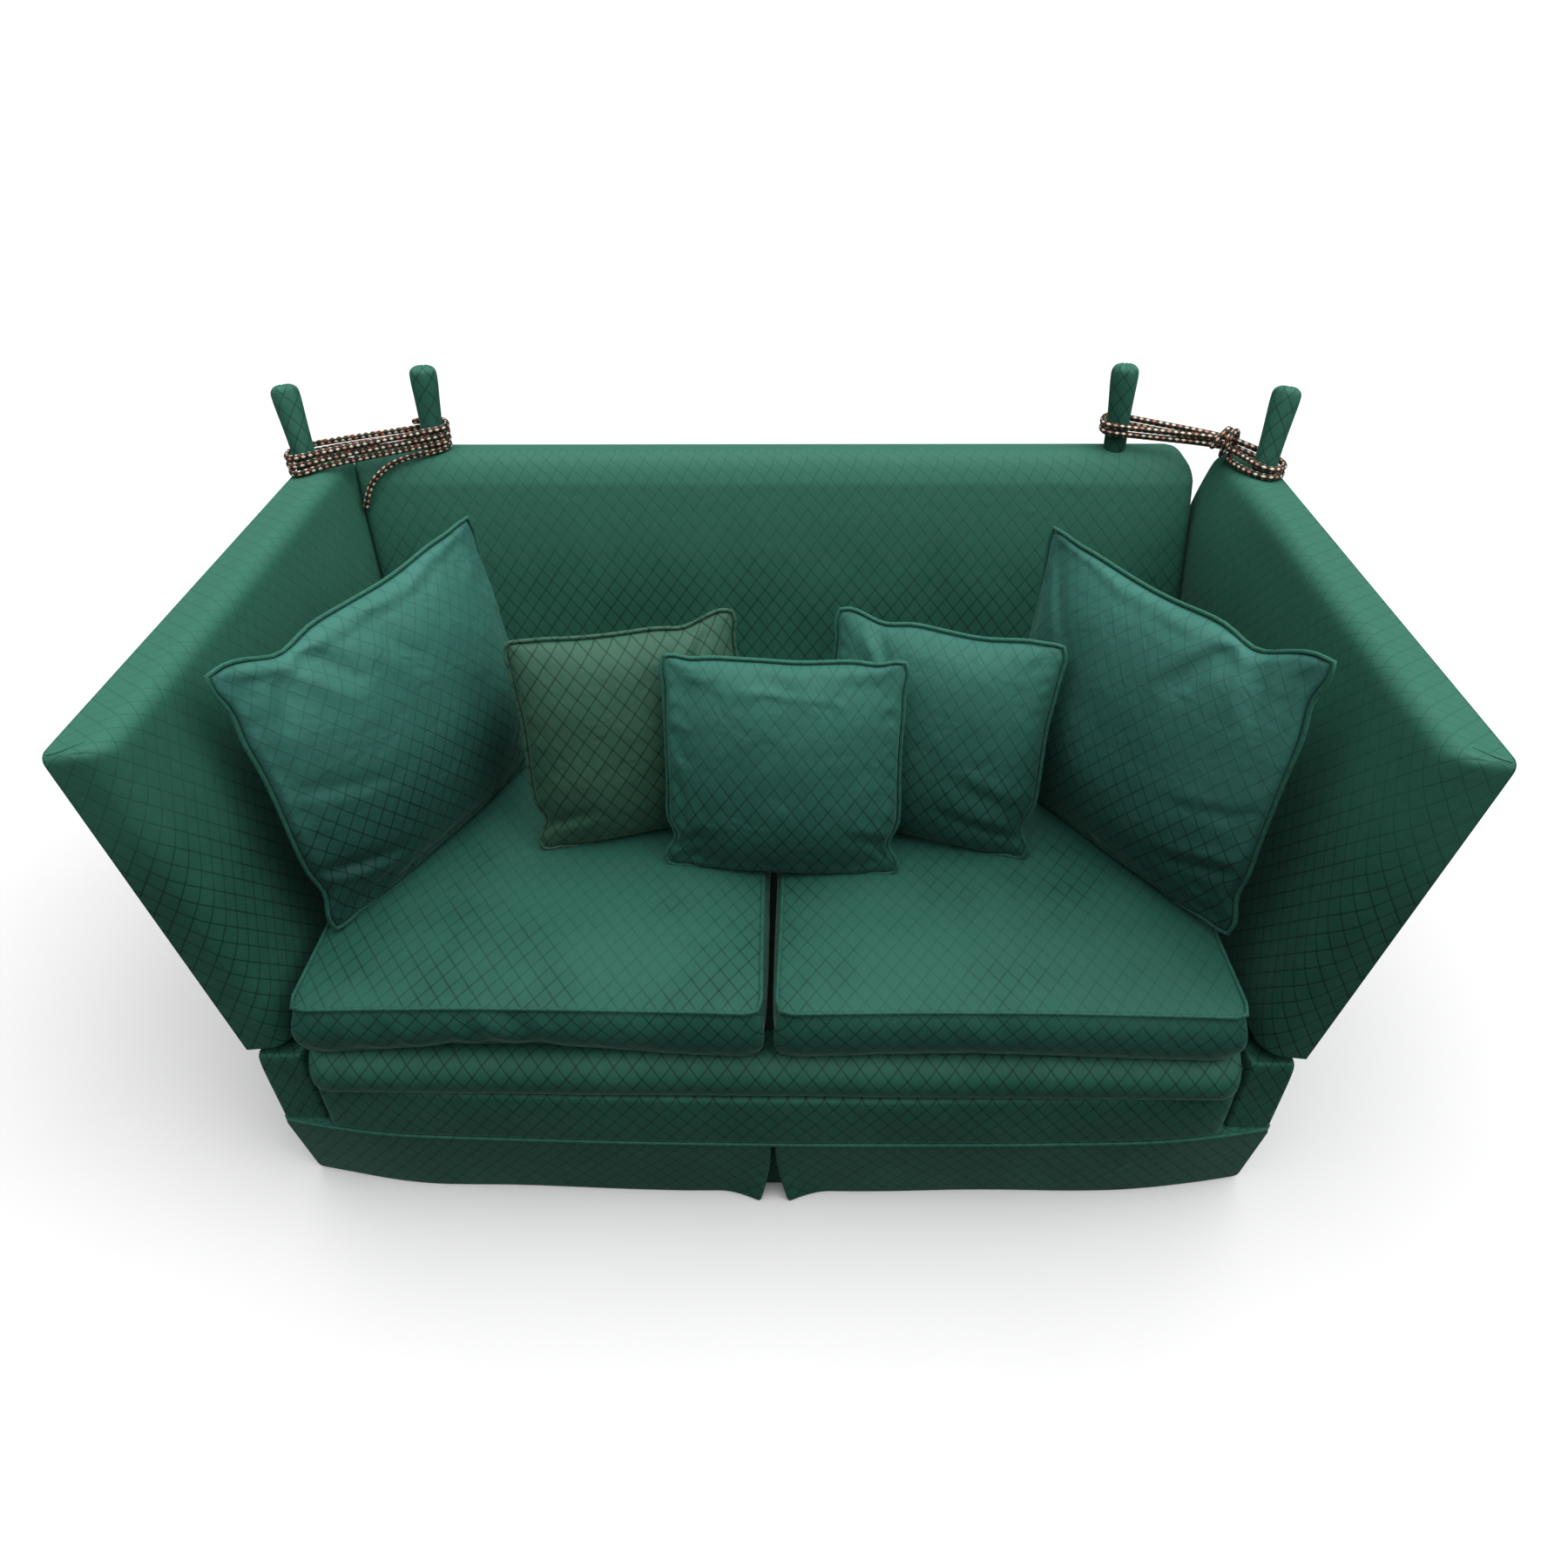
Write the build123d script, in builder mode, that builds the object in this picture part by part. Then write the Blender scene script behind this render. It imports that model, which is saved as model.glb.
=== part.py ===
from build123d import *
from math import acos, atan2, ceil, cos, pi, radians, sin, sqrt, tan
import os

os.makedirs("parts", exist_ok=True)

# Knole sofa. Millimetres, +Z up, front towards -Y, origin on the floor under the middle of the sofa.
# The base carries a fixed raked back. Two tall arms are hinged on the low stumps at the ends, and a
# rope lashed round a peg on each arm and a peg on the back holds each arm up.

# Overall sizes
base_width = 1684
base_depth = 952
floor_gap = 4
fit_gap = 0.3
soft_gap = 0.5
overrun = 20

# Base timber
stump_width = 78
stump_top = 360
stump_padding = 12
rail_bottom = 170
rail_top = 330
rail_thickness = 40
side_rail_thickness = 50
stretcher_height = 60
stretcher_width = 45
stretcher_drop = 70
stretcher_count = 3
corner_block_leg = 80
corner_block_height = 90
dust_cover_thickness = 1.5

# Legs and glides
leg_top_width = 58
leg_foot_width = 40
leg_columns = 3
leg_inset = 45
glide_height = 5
glide_radius = 16
glide_facets = 12

# Seat suspension and deck
webbing_width = 50
webbing_thickness = 3
webbing_long_count = 9
webbing_cross_count = 5
deck_top = 391.7
deck_front_setback = 38
deck_back_gap = 5
deck_round = 18

# Front border, front roll and skirt
skirt_seam_height = 186
welt_radius = 3.5
front_bow_middle = 40
front_bow_flat = 31
bow_break_share = 0.715
bow_fall_share = 0.35
panel_flat_share = 0.3
border_top = 309
border_end_gap = 9
border_round = 10
roll_end_gap = 19
roll_overhang = 60
roll_end_round = 24
skirt_thickness = 3
pleat_gap_top = 2
pleat_gap_hem = 22
pleat_return = 46
pleat_fold_depth = 8
pleat_flare = 24
hem_setback = 24
skirt_sway = 4
underlay_half_width = 66
corner_fold_gap = 3
corner_underlay_width = 62
side_hem_setback = 4
# Each level of a panel: its shares of the fall from the seam, of the fold's flare and of the hem's sway
skirt_level_shares = ((1.0, 1.0, 1.0), (0.66, 0.42, 0.45), (0.33, 0.13, 0.12), (0.0, 0.0, 0.0))
skirt_fold_shares = (0.34, 0.48, 0.62, 0.76, 0.89)
skirt_sway_shares = (0.0, 1.0, -0.4, 0.8, 0.0)

# Fixed back
back_face_rake = 17
back_outer_rake = 5.6
back_face_inset = 100
back_face_height = 711
back_top = 985
back_rear_overhang = 61
back_round_rise = 68
back_round_depth_share = 0.38
back_round_height_share = 0.7
back_right_setback = 28
back_right_corner = 46
back_left_corner = 14
back_panel_thickness = 4
back_frame_thickness = 36
back_frame_end_gap = 29
back_frame_top_margin = 32
back_post_width = 58
back_rail_height = 80
back_upright_count = 2
back_end_gap = 2
back_web_thickness = 3
back_web_count = 9

# Drop arms
arm_lean_left = 7.9
arm_lean_right = 9.3
arm_height = 612
arm_lift = 9
arm_outer = 4
arm_inner_bottom = 76
arm_inner_top = 84
arm_frame_thickness = 36
arm_pad_front = 14
arm_pad_top = 24
arm_top_round = 32
arm_front_round = 40
arm_outer_round = 3
arm_post_width = 60
arm_rail_height = 70
arm_peg_setback = {"left": 72, "right": 94}
arm_peg_inset = {"left": 30, "right": 40}
arm_web_count = 6

# Hinges
hinge_offset = 4
hinge_height = 8.5
hinge_barrel_radius = 5
hinge_pin_radius = 2.5
hinge_pin_gap = 0.06
hinge_barrel_facets = 8
hinge_pin_facets = 6
hinge_leaf_thickness = 2.5
hinge_leaf_width = 40
hinge_length = 76
hinge_knuckle_gap = 0.4
hinge_spacing = 340
hinge_count = 3

# Pegs
peg_height = 162
peg_base_radius = 21.5
peg_waist_radius = 20.5
peg_head_radius = 26.5
peg_waist_share = 0.38
peg_dome_shares = ((0.82, 1.0), (0.94, 0.84), (0.985, 0.52), (1.0, 0.2))
peg_tenon_radius = 12
peg_tenon_length = 52
peg_socket_gap = 0.3
peg_facets = 18
back_peg_offset = -14
back_peg_inset = 164
back_peg_overhang = 38
back_peg_tilt = 8
arm_peg_tilt = 20
arm_peg_splay = {"left": 4, "right": 2}

# Seat cushions
seat_bottom = 392
seat_height = 121
seat_overhang = 19
seat_side_gap = {"left": 24, "right": 39}
seat_middle_gap = {"left": 15, "right": 10}
seat_corner = 22
seat_draw = 7

# Scatter cushions
large_width = 548
large_height = 528
large_thickness = 150
small_width = 430
small_height = 404
small_thickness = 122
scatter_seam = 9
large_setback = {"left": 222, "right": 242}

# Ropes
rope_diameter = 12
rope_gap = 1.2
rope_facets = 8
rope_ease_share = 0.97
rope_reach_share = 0.45
square_turn = 75
rope_arc_step = 24
left_turns = 4
left_end = 60
left_crest_share = 0.18
left_crest_clearance = 3
left_tail = ((18, -51, -89), (29, -46, -51), (57, -30, -18), (102, -10, 2))
right_turns = 2
right_start_height = 33
right_knot = (16, -28, 37)
right_knot_half = 18
right_knot_wraps = 2
right_start_inset = 2
right_fan = 2
right_tail = 34

half_width = base_width / 2
half_depth = base_depth / 2
stump_inner = half_width - stump_width
border_half_width = stump_inner - border_end_gap
roll_half_width = stump_inner - roll_end_gap
roll_front = half_depth + roll_overhang
seat_front = half_depth + seat_overhang
back_face_depth = half_depth - back_face_inset
back_rear_top = half_depth + back_rear_overhang
back_frame_half_width = stump_inner - back_frame_end_gap
hinge_x = half_width + hinge_offset
hinge_z = stump_top + hinge_height
seam_top = skirt_seam_height + welt_radius + fit_gap
seam_bottom = skirt_seam_height - welt_radius - fit_gap
rope_radius = rope_diameter / 2
rope_pitch = rope_diameter + rope_gap


def export(piece, name):
    piece.label = name
    export_step(piece, f"parts/{name}.step")


# Places a piece that was made upright at the right hinge, on its own side and at its own lean.
def on_arm(piece, side):
    if side == "left":
        return Pos(-hinge_x, 0, hinge_z) * Rot(0, -arm_lean_left, 0) * mirror(piece, about=Plane.YZ)
    return Pos(hinge_x, 0, hinge_z) * Rot(0, arm_lean_right, 0) * piece


# The x of the arm's inner face at a height, which the end of the back runs beside.
def arm_face_x(height, lean):
    lean_angle = radians(lean)
    taper = (arm_inner_top - arm_inner_bottom) / arm_height
    up = (height - hinge_z) / cos(lean_angle)
    inner = arm_inner_bottom + taper * (up - arm_lift)
    return hinge_x + up * sin(lean_angle) - inner * cos(lean_angle)


# Closed solid of flat facets between rings of as many points each.
def faceted_solid(rings):
    count = len(rings[0])
    floor = Face(Wire.make_polygon(rings[0]))
    if floor.normal_at().dot(rings[1][0] - rings[0][0]) > 0:
        floor = -floor
    faces = [floor, Face(Wire.make_polygon(rings[-1]))]
    for low, high in zip(rings, rings[1:]):
        for i in range(count):
            j = (i + 1) % count
            faces.append(Face(Wire.make_polygon([low[i], low[j], high[j]])))
            faces.append(Face(Wire.make_polygon([low[i], high[j], high[i]])))
    return Solid(Shell(faces))


# Outline of a cushion at one level: four sides, each drawn in (or let out) in an arc between its corners.
def cushion_ring(plane, width, depth, corner, draw, side_facets):
    points = []
    for quarter in range(4):
        along, out = (width / 2, depth / 2) if quarter % 2 == 0 else (depth / 2, width / 2)
        turn = quarter * pi / 2
        for step in range(side_facets + 1):
            share = 2 * step / side_facets - 1
            x = share * (along - corner)
            y = out - draw * (1 - share**2)
            place = (x * cos(turn) + y * sin(turn), y * cos(turn) - x * sin(turn), 0)
            points.append(Vector(*plane.from_local_coords(place)))
    return points


# Shares for a knife-edge cushion: of its half thickness, then of its width for inset, corner and draw.
pillow_level_shares = (
    (0.0, 0.0, 0.03, 0.045),
    (0.32, 0.035, 0.05, 0.034),
    (0.58, 0.09, 0.09, 0.018),
    (0.79, 0.175, 0.12, 0.0),
    (0.93, 0.28, 0.13, -0.015),
    (1.0, 0.43, 0.045, -0.008),
)
pillow_side_facets = 5


def pillow(plane, width, height, thickness):
    rings = []
    for side in (-1, 1):
        levels = pillow_level_shares if side == 1 else pillow_level_shares[::-1]
        for rise, inset, corner, draw in levels:
            out = side * (scatter_seam + rise * (thickness - scatter_seam)) / 2
            level_plane = plane.offset(out)
            level_width = width - 2 * inset * width
            level_height = height - 2 * inset * height
            level_corner = corner * width
            level_draw = draw * width
            ring = cushion_ring(
                level_plane, level_width, level_height, level_corner, level_draw, pillow_side_facets
            )
            rings.append(ring)
    return faceted_solid(rings)


# Shares for a box cushion: of its height, then of its height for the inset and bulge of each ring.
box_level_shares = (
    (0.0, 0.85, 0.06),
    (0.025, 0.33, 0.03),
    (0.08, 0.0, 0.0),
    (0.28, -0.035, 0.0),
    (0.66, -0.035, 0.0),
    (0.86, 0.0, 0.0),
    (0.92, 0.09, 0.02),
    (0.97, 0.33, 0.05),
    (1.0, 0.85, 0.08),
)
box_side_facets = 6


def box_cushion(left, width):
    rings = []
    centre = Plane((left + width / 2, seat_depth / 2 - seat_front, seat_bottom))
    for rise, inset, ease in box_level_shares:
        level_plane = centre.offset(rise * seat_height)
        level_width = width - 2 * inset * seat_height
        level_depth = seat_depth - 2 * inset * seat_height
        corner = seat_corner + ease * seat_height
        rings.append(cushion_ring(level_plane, level_width, level_depth, corner, seat_draw, box_side_facets))
    return faceted_solid(rings)


# Base timber
with BuildPart() as front_rail:
    with BuildSketch(Plane.XY.offset(rail_bottom)):
        with Locations((0, rail_thickness / 2 - half_depth + stump_padding)):
            Rectangle(base_width - 2 * (side_rail_thickness + stump_padding), rail_thickness)
    extrude(amount=rail_top - rail_bottom)
export(front_rail.part, "front_rail")

with BuildPart() as back_rail:
    with BuildSketch(Plane.XY.offset(rail_bottom)):
        with Locations((0, half_depth - stump_padding - rail_thickness / 2)):
            Rectangle(base_width - 2 * (side_rail_thickness + stump_padding), rail_thickness)
    extrude(amount=rail_top - rail_bottom)
export(back_rail.part, "back_rail")

side_rail_x = half_width - stump_padding - side_rail_thickness / 2
for side, sign in (("left", -1), ("right", 1)):
    with BuildPart() as side_rail:
        with BuildSketch(Plane.XY.offset(rail_bottom)):
            with Locations((sign * side_rail_x, 0)):
                Rectangle(side_rail_thickness, base_depth - 2 * stump_padding)
        extrude(amount=stump_top - stump_padding - rail_bottom)
    export(side_rail.part, f"{side}_side_rail")

inner_depth = base_depth - 2 * (stump_padding + rail_thickness)
stretcher_spacing = base_width / (stretcher_count + 1)
with BuildPart() as seat_stretchers:
    with BuildSketch(Plane.XY.offset(rail_top - stretcher_drop - stretcher_height)):
        with GridLocations(stretcher_spacing, 0, stretcher_count, 1):
            Rectangle(stretcher_width, inner_depth)
    extrude(amount=stretcher_height)
export(seat_stretchers.part, "seat_stretchers")

block_x = half_width - stump_padding - side_rail_thickness
block_y = inner_depth / 2
with BuildPart() as corner_blocks:
    with BuildSketch(Plane.XY.offset(rail_top - corner_block_height)):
        for x_sign in (-1, 1):
            for y_sign in (-1, 1):
                with BuildLine():
                    Polyline(
                        (x_sign * block_x, y_sign * block_y),
                        (x_sign * (block_x - corner_block_leg), y_sign * block_y),
                        (x_sign * block_x, y_sign * (block_y - corner_block_leg)),
                        close=True,
                    )
                make_face()
    extrude(amount=corner_block_height)
export(corner_blocks.part, "corner_blocks")

leg_spacing_x = (base_width - 2 * leg_inset) / (leg_columns - 1)
leg_spacing_y = base_depth - 2 * leg_inset
with BuildPart() as legs:
    with BuildSketch(Plane.XZ) as leg_fronts:
        for place in range(leg_columns):
            middle = (place - (leg_columns - 1) / 2) * leg_spacing_x
            with BuildLine():
                Polyline(
                    (middle - leg_foot_width / 2, glide_height),
                    (middle + leg_foot_width / 2, glide_height),
                    (middle + leg_top_width / 2, rail_bottom),
                    (middle - leg_top_width / 2, rail_bottom),
                    close=True,
                )
            make_face()
    extrude(amount=half_depth, both=True)
    with BuildSketch(Plane.YZ) as leg_sides:
        for sign in (-1, 1):
            middle = sign * leg_spacing_y / 2
            with BuildLine():
                Polyline(
                    (middle - leg_foot_width / 2, glide_height),
                    (middle + leg_foot_width / 2, glide_height),
                    (middle + leg_top_width / 2, rail_bottom),
                    (middle - leg_top_width / 2, rail_bottom),
                    close=True,
                )
            make_face()
    extrude(amount=half_width, both=True, mode=Mode.INTERSECT)
export(legs.part, "legs")

with BuildPart() as glides:
    with BuildSketch():
        with GridLocations(leg_spacing_x, leg_spacing_y, leg_columns, 2):
            RegularPolygon(glide_radius, glide_facets)
    extrude(amount=glide_height)
export(glides.part, "glides")

with BuildPart() as dust_cover:
    with BuildSketch(Plane.XY.offset(rail_bottom - dust_cover_thickness)):
        Rectangle(base_width - 2 * stump_padding, base_depth - 2 * stump_padding)
        with GridLocations(leg_spacing_x, leg_spacing_y, leg_columns, 2):
            Rectangle(leg_top_width + 2 * soft_gap, leg_top_width + 2 * soft_gap, mode=Mode.SUBTRACT)
    extrude(amount=dust_cover_thickness)
export(dust_cover.part, "dust_cover")

# Stumps: a padded cover folded over each side rail, open below
stump_open_width = stump_width - stump_padding - side_rail_thickness
for side, sign in (("left", -1), ("right", 1)):
    with BuildPart() as stump_cover:
        with BuildSketch(Plane.XY.offset(seam_top)):
            with Locations((sign * (half_width - stump_width / 2), 0)):
                Rectangle(stump_width, base_depth)
        extrude(amount=stump_top - seam_top)
        fillet(stump_cover.edges().filter_by(Axis.Z), stump_padding / 2)
        chamfer(stump_cover.faces().sort_by(Axis.Z)[-1].edges(), stump_padding / 4)
        with BuildSketch(Plane.XY.offset(seam_top)):
            with Locations((sign * side_rail_x, 0)):
                Rectangle(side_rail_thickness, base_depth - 2 * stump_padding)
        extrude(amount=stump_top - stump_padding - seam_top, mode=Mode.SUBTRACT)
        with BuildSketch(Plane.XY.offset(seam_top)):
            with Locations((sign * (stump_inner + stump_open_width / 2), 0)):
                Rectangle(stump_open_width, base_depth - 2 * stump_padding)
        extrude(amount=rail_top - seam_top, mode=Mode.SUBTRACT)
    export(stump_cover.part, f"{side}_stump_cover")

# Seat suspension and deck
cross_span = (base_depth - 2 * stump_padding) / webbing_cross_count
with BuildPart() as seat_webbing:
    with BuildSketch(Plane.XY.offset(rail_top)):
        with GridLocations(2 * block_x / webbing_long_count, 0, webbing_long_count, 1):
            Rectangle(webbing_width, base_depth - 2 * stump_padding)
    extrude(amount=webbing_thickness)
    with BuildSketch(Plane.XY.offset(rail_top + webbing_thickness)):
        with GridLocations(0, cross_span, 1, webbing_cross_count):
            Rectangle(2 * (stump_inner - soft_gap), webbing_width)
    extrude(amount=webbing_thickness)
export(seat_webbing.part, "seat_webbing")


# The depth of the back's raked face at a height.
def back_face_y(height):
    return back_face_depth + (height - back_face_height) * tan(radians(back_face_rake))


seat_depth = seat_front + back_face_y(seat_bottom) - soft_gap
deck_bottom = rail_top + 2 * webbing_thickness
deck_front = half_depth - deck_front_setback
deck_rear = back_face_y(rail_top) - deck_back_gap
with BuildPart() as seat_deck:
    with BuildSketch(Plane.XY.offset(deck_bottom)):
        with Locations((0, (deck_rear - deck_front) / 2)):
            Rectangle(2 * (stump_inner - soft_gap), deck_rear + deck_front)
    extrude(amount=deck_top - deck_bottom)
    fillet(seat_deck.faces().sort_by(Axis.Z)[-1].edges(), deck_round)
export(seat_deck.part, "seat_deck")


# The bowed front line of the base at the skirt seam: how far it stands before the corners.
def front_bow(x):
    share = abs(x) / half_width
    if share <= bow_break_share:
        return front_bow_middle - (front_bow_middle - front_bow_flat) * (share / bow_break_share) ** 2
    beyond = (share - bow_break_share) / (1 - bow_break_share)
    return front_bow_flat * (1 - bow_fall_share * beyond - (1 - bow_fall_share) * beyond**2)


bow_break_x = half_width * bow_break_share
bow_middle_x = (bow_break_x + half_width) / 2

with BuildPart() as front_border:
    border_back = half_depth - stump_padding
    with BuildSketch(Plane.XY.offset(seam_top)):
        with BuildLine():
            end_y = half_depth + front_bow(border_half_width)
            break_y = half_depth + front_bow(bow_break_x)
            inner_break = (bow_break_x + border_half_width) / 2
            inner_y = half_depth + front_bow(inner_break)
            Line((-border_half_width, -border_back), (-border_half_width, -end_y))
            ThreePointArc((-border_half_width, -end_y), (-inner_break, -inner_y), (-bow_break_x, -break_y))
            ThreePointArc((-bow_break_x, -break_y), (0, -half_depth - front_bow(0)), (bow_break_x, -break_y))
            ThreePointArc((bow_break_x, -break_y), (inner_break, -inner_y), (border_half_width, -end_y))
            Line((border_half_width, -end_y), (border_half_width, -border_back))
            Line((border_half_width, -border_back), (-border_half_width, -border_back))
        make_face()
    extrude(amount=border_top - seam_top)
    border_ends = front_border.edges().filter_by(Axis.Z).sort_by(lambda edge: abs(edge.center().X))[-4:]
    fillet(border_ends.sort_by(Axis.Y)[0:2], border_round)
export(front_border.part, "front_border")

roll_bottom = border_top + fit_gap
roll_top = deck_top
roll_rise = roll_top - roll_bottom
roll_back = half_depth - stump_padding
roll_rear = deck_front + soft_gap
with BuildPart() as front_roll:
    with BuildSketch(Plane.YZ):
        with BuildLine():
            Line((-roll_back, roll_bottom), (-roll_front + roll_rise / 3, roll_bottom))
            ThreePointArc(
                (-roll_front + roll_rise / 3, roll_bottom),
                (-roll_front + roll_rise / 12, roll_bottom + roll_rise / 6),
                (-roll_front, roll_bottom + roll_rise / 2),
            )
            ThreePointArc(
                (-roll_front, roll_bottom + roll_rise / 2),
                (-roll_front + roll_rise / 8, roll_top - roll_rise / 6),
                (-roll_front + roll_rise / 2, roll_top),
            )
            Line((-roll_front + roll_rise / 2, roll_top), (-roll_rear, roll_top))
            Line((-roll_rear, roll_top), (-roll_rear, deck_bottom))
            Line((-roll_rear, deck_bottom), (-roll_back, deck_bottom))
            Line((-roll_back, deck_bottom), (-roll_back, roll_bottom))
        make_face()
    extrude(amount=roll_half_width, both=True)
    with BuildSketch(Plane.XY.offset(roll_bottom)) as roll_plan:
        with Locations((0, -(roll_front + roll_rear) / 2)):
            Rectangle(2 * roll_half_width, roll_front - roll_rear)
        fillet(roll_plan.vertices().group_by(Axis.Y)[0], roll_end_round)
    extrude(amount=roll_rise, mode=Mode.INTERSECT)
export(front_roll.part, "front_roll")

# Skirt welt: one cord sewn round the top of the skirt
welt_x = half_width + welt_radius / 2
welt_y = half_depth + welt_radius / 2
welt_break_y = welt_y + front_bow(bow_break_x)
welt_middle_y = welt_y + front_bow(bow_middle_x)
with BuildPart() as skirt_welt:
    with BuildSketch(Plane.XY.offset(skirt_seam_height - welt_radius)) as welt_band:
        with BuildLine():
            Line((welt_x, welt_y), (-welt_x, welt_y))
            Line((-welt_x, welt_y), (-welt_x, -welt_y))
            ThreePointArc((-welt_x, -welt_y), (-bow_middle_x, -welt_middle_y), (-bow_break_x, -welt_break_y))
            welt_front = (0, -welt_y - front_bow(0))
            ThreePointArc((-bow_break_x, -welt_break_y), welt_front, (bow_break_x, -welt_break_y))
            ThreePointArc((bow_break_x, -welt_break_y), (bow_middle_x, -welt_middle_y), (welt_x, -welt_y))
            Line((welt_x, -welt_y), (welt_x, welt_y))
        make_face()
        fillet(welt_band.vertices().group_by(Axis.Y)[-1], 2 * welt_radius)
        offset(amount=-2 * welt_radius, mode=Mode.SUBTRACT, kind=Kind.INTERSECTION)
    extrude(amount=2 * welt_radius)
    welt_outside = skirt_welt.faces().sort_by(Axis.Z)
    chamfer(welt_outside[0].outer_wire().edges() + welt_outside[-1].outer_wire().edges(), welt_radius / 2)
export(skirt_welt.part, "skirt_welt")


# A ring of a front skirt panel: its fold edge beside the middle pleat flares towards the hem and folds back.
def skirt_panel_ring(fall, flare, sway):
    height = seam_bottom - fall * (seam_bottom - floor_gap)
    fold_x = pleat_gap_top + flare * (pleat_gap_hem - pleat_gap_top)
    fold_y = half_depth + front_bow(0) - fall * hem_setback + flare * pleat_flare
    end_x = half_width - corner_fold_gap - fall * side_hem_setback
    flat_x = panel_flat_share * half_width
    outside = [(fold_x, fold_y)]
    lap_x = fold_x + pleat_return
    outside.append((lap_x, half_depth + front_bow(lap_x) - fall * hem_setback))
    for share, shift in zip(skirt_fold_shares, skirt_sway_shares):
        x = share * end_x
        outside.append((x, half_depth + front_bow(x) - fall * hem_setback + sway * shift * skirt_sway))
    outside.append((end_x, half_depth - fall * side_hem_setback))
    inside = [(x, y - skirt_thickness) for x, y in outside[:0:-1]]
    tuck_y = half_depth + front_bow(flat_x) - fall * hem_setback - pleat_fold_depth
    inside.append((fold_x + 2 * skirt_thickness, fold_y - skirt_thickness - flare * pleat_fold_depth / 4))
    inside.append((fold_x + 2 * skirt_thickness, tuck_y))
    inside.append((lap_x, tuck_y))
    inside.append((lap_x, tuck_y - skirt_thickness))
    inside.append((fold_x, tuck_y - skirt_thickness))
    return [Vector(x, -y, height) for x, y in outside + inside]


# Skirt panels
skirt_front_right = faceted_solid([skirt_panel_ring(*shares) for shares in skirt_level_shares])
export(skirt_front_right, "skirt_front_right")
export(mirror(skirt_front_right, about=Plane.YZ), "skirt_front_left")

underlay_front = half_depth + front_bow(panel_flat_share * half_width)
underlay_front -= pleat_fold_depth + skirt_thickness + soft_gap
underlay_hem = underlay_front - hem_setback
with BuildPart() as skirt_pleat:
    with BuildSketch(Plane.YZ.offset(-underlay_half_width)):
        with BuildLine():
            Polyline(
                (-underlay_hem, floor_gap),
                (-underlay_front, seam_bottom),
                (-underlay_front + skirt_thickness, seam_bottom),
                (-underlay_hem + skirt_thickness, floor_gap),
                close=True,
            )
        make_face()
    extrude(amount=2 * underlay_half_width)
export(skirt_pleat.part, "skirt_pleat")

with BuildPart() as skirt_sides:
    with BuildSketch(Plane.XZ):
        for sign in (-1, 1):
            with BuildLine():
                Polyline(
                    (sign * (half_width - side_hem_setback), floor_gap),
                    (sign * half_width, seam_bottom),
                    (sign * (half_width - skirt_thickness), seam_bottom),
                    (sign * (half_width - side_hem_setback - skirt_thickness), floor_gap),
                    close=True,
                )
            make_face()
    extrude(amount=half_depth - corner_fold_gap - side_hem_setback - skirt_thickness, both=True)
export(skirt_sides.part, "skirt_sides")

with BuildPart() as skirt_back:
    with BuildSketch(Plane.YZ.offset(corner_fold_gap + skirt_thickness + side_hem_setback - half_width)):
        with BuildLine():
            Polyline(
                (half_depth - side_hem_setback, floor_gap),
                (half_depth, seam_bottom),
                (half_depth - skirt_thickness, seam_bottom),
                (half_depth - side_hem_setback - skirt_thickness, floor_gap),
                close=True,
            )
        make_face()
    extrude(amount=2 * (half_width - corner_fold_gap - skirt_thickness - side_hem_setback))
export(skirt_back.part, "skirt_back")

corner_x = half_width - side_hem_setback - 2 * skirt_thickness - soft_gap
corner_y = half_depth - side_hem_setback - 2 * skirt_thickness - soft_gap
with BuildPart() as corner_pleats:
    with BuildSketch(Plane.XY.offset(floor_gap)):
        for x_sign in (-1, 1):
            for y_sign in (-1, 1):
                with BuildLine():
                    Polyline(
                        (x_sign * corner_x, y_sign * corner_y),
                        (x_sign * (corner_x - corner_underlay_width), y_sign * corner_y),
                        (x_sign * (corner_x - corner_underlay_width), y_sign * (corner_y - skirt_thickness)),
                        (x_sign * (corner_x - skirt_thickness), y_sign * (corner_y - skirt_thickness)),
                        (x_sign * (corner_x - skirt_thickness), y_sign * (corner_y - corner_underlay_width)),
                        (x_sign * corner_x, y_sign * (corner_y - corner_underlay_width)),
                        close=True,
                    )
                make_face()
    extrude(amount=rail_bottom - dust_cover_thickness - fit_gap - floor_gap)
export(corner_pleats.part, "corner_pleats")


def back_outer_y(height):
    return back_rear_top - (back_top - height) * tan(radians(back_outer_rake))


back_bottom = rail_top + 2 * webbing_thickness + fit_gap
face_round_bottom = back_top - back_round_rise

# Elevation of the back: its ends run beside the arms, and the right one turns upright short of the top
back_foot = stump_inner - soft_gap
left_high = arm_face_x(back_top, arm_lean_left) - back_end_gap
right_high = arm_face_x(back_top, arm_lean_right) - back_end_gap
right_edge = half_width - back_right_setback
right_bend = stump_top + (back_top - stump_top) * (right_edge - back_foot) / (right_high - back_foot)
with BuildSketch(Plane.XZ) as back_elevation:
    with BuildLine():
        Polyline(
            (-back_foot, back_bottom),
            (-back_foot, stump_top),
            (-left_high, back_top),
            (right_edge, back_top),
            (right_edge, right_bend),
            (back_foot, stump_top),
            (back_foot, back_bottom),
            close=True,
        )
    make_face()
    top_corners = back_elevation.vertices().group_by(Axis.Z)[-1].sort_by(Axis.X)
    fillet(top_corners[0], back_left_corner)
    fillet(top_corners[1], back_right_corner)

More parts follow.
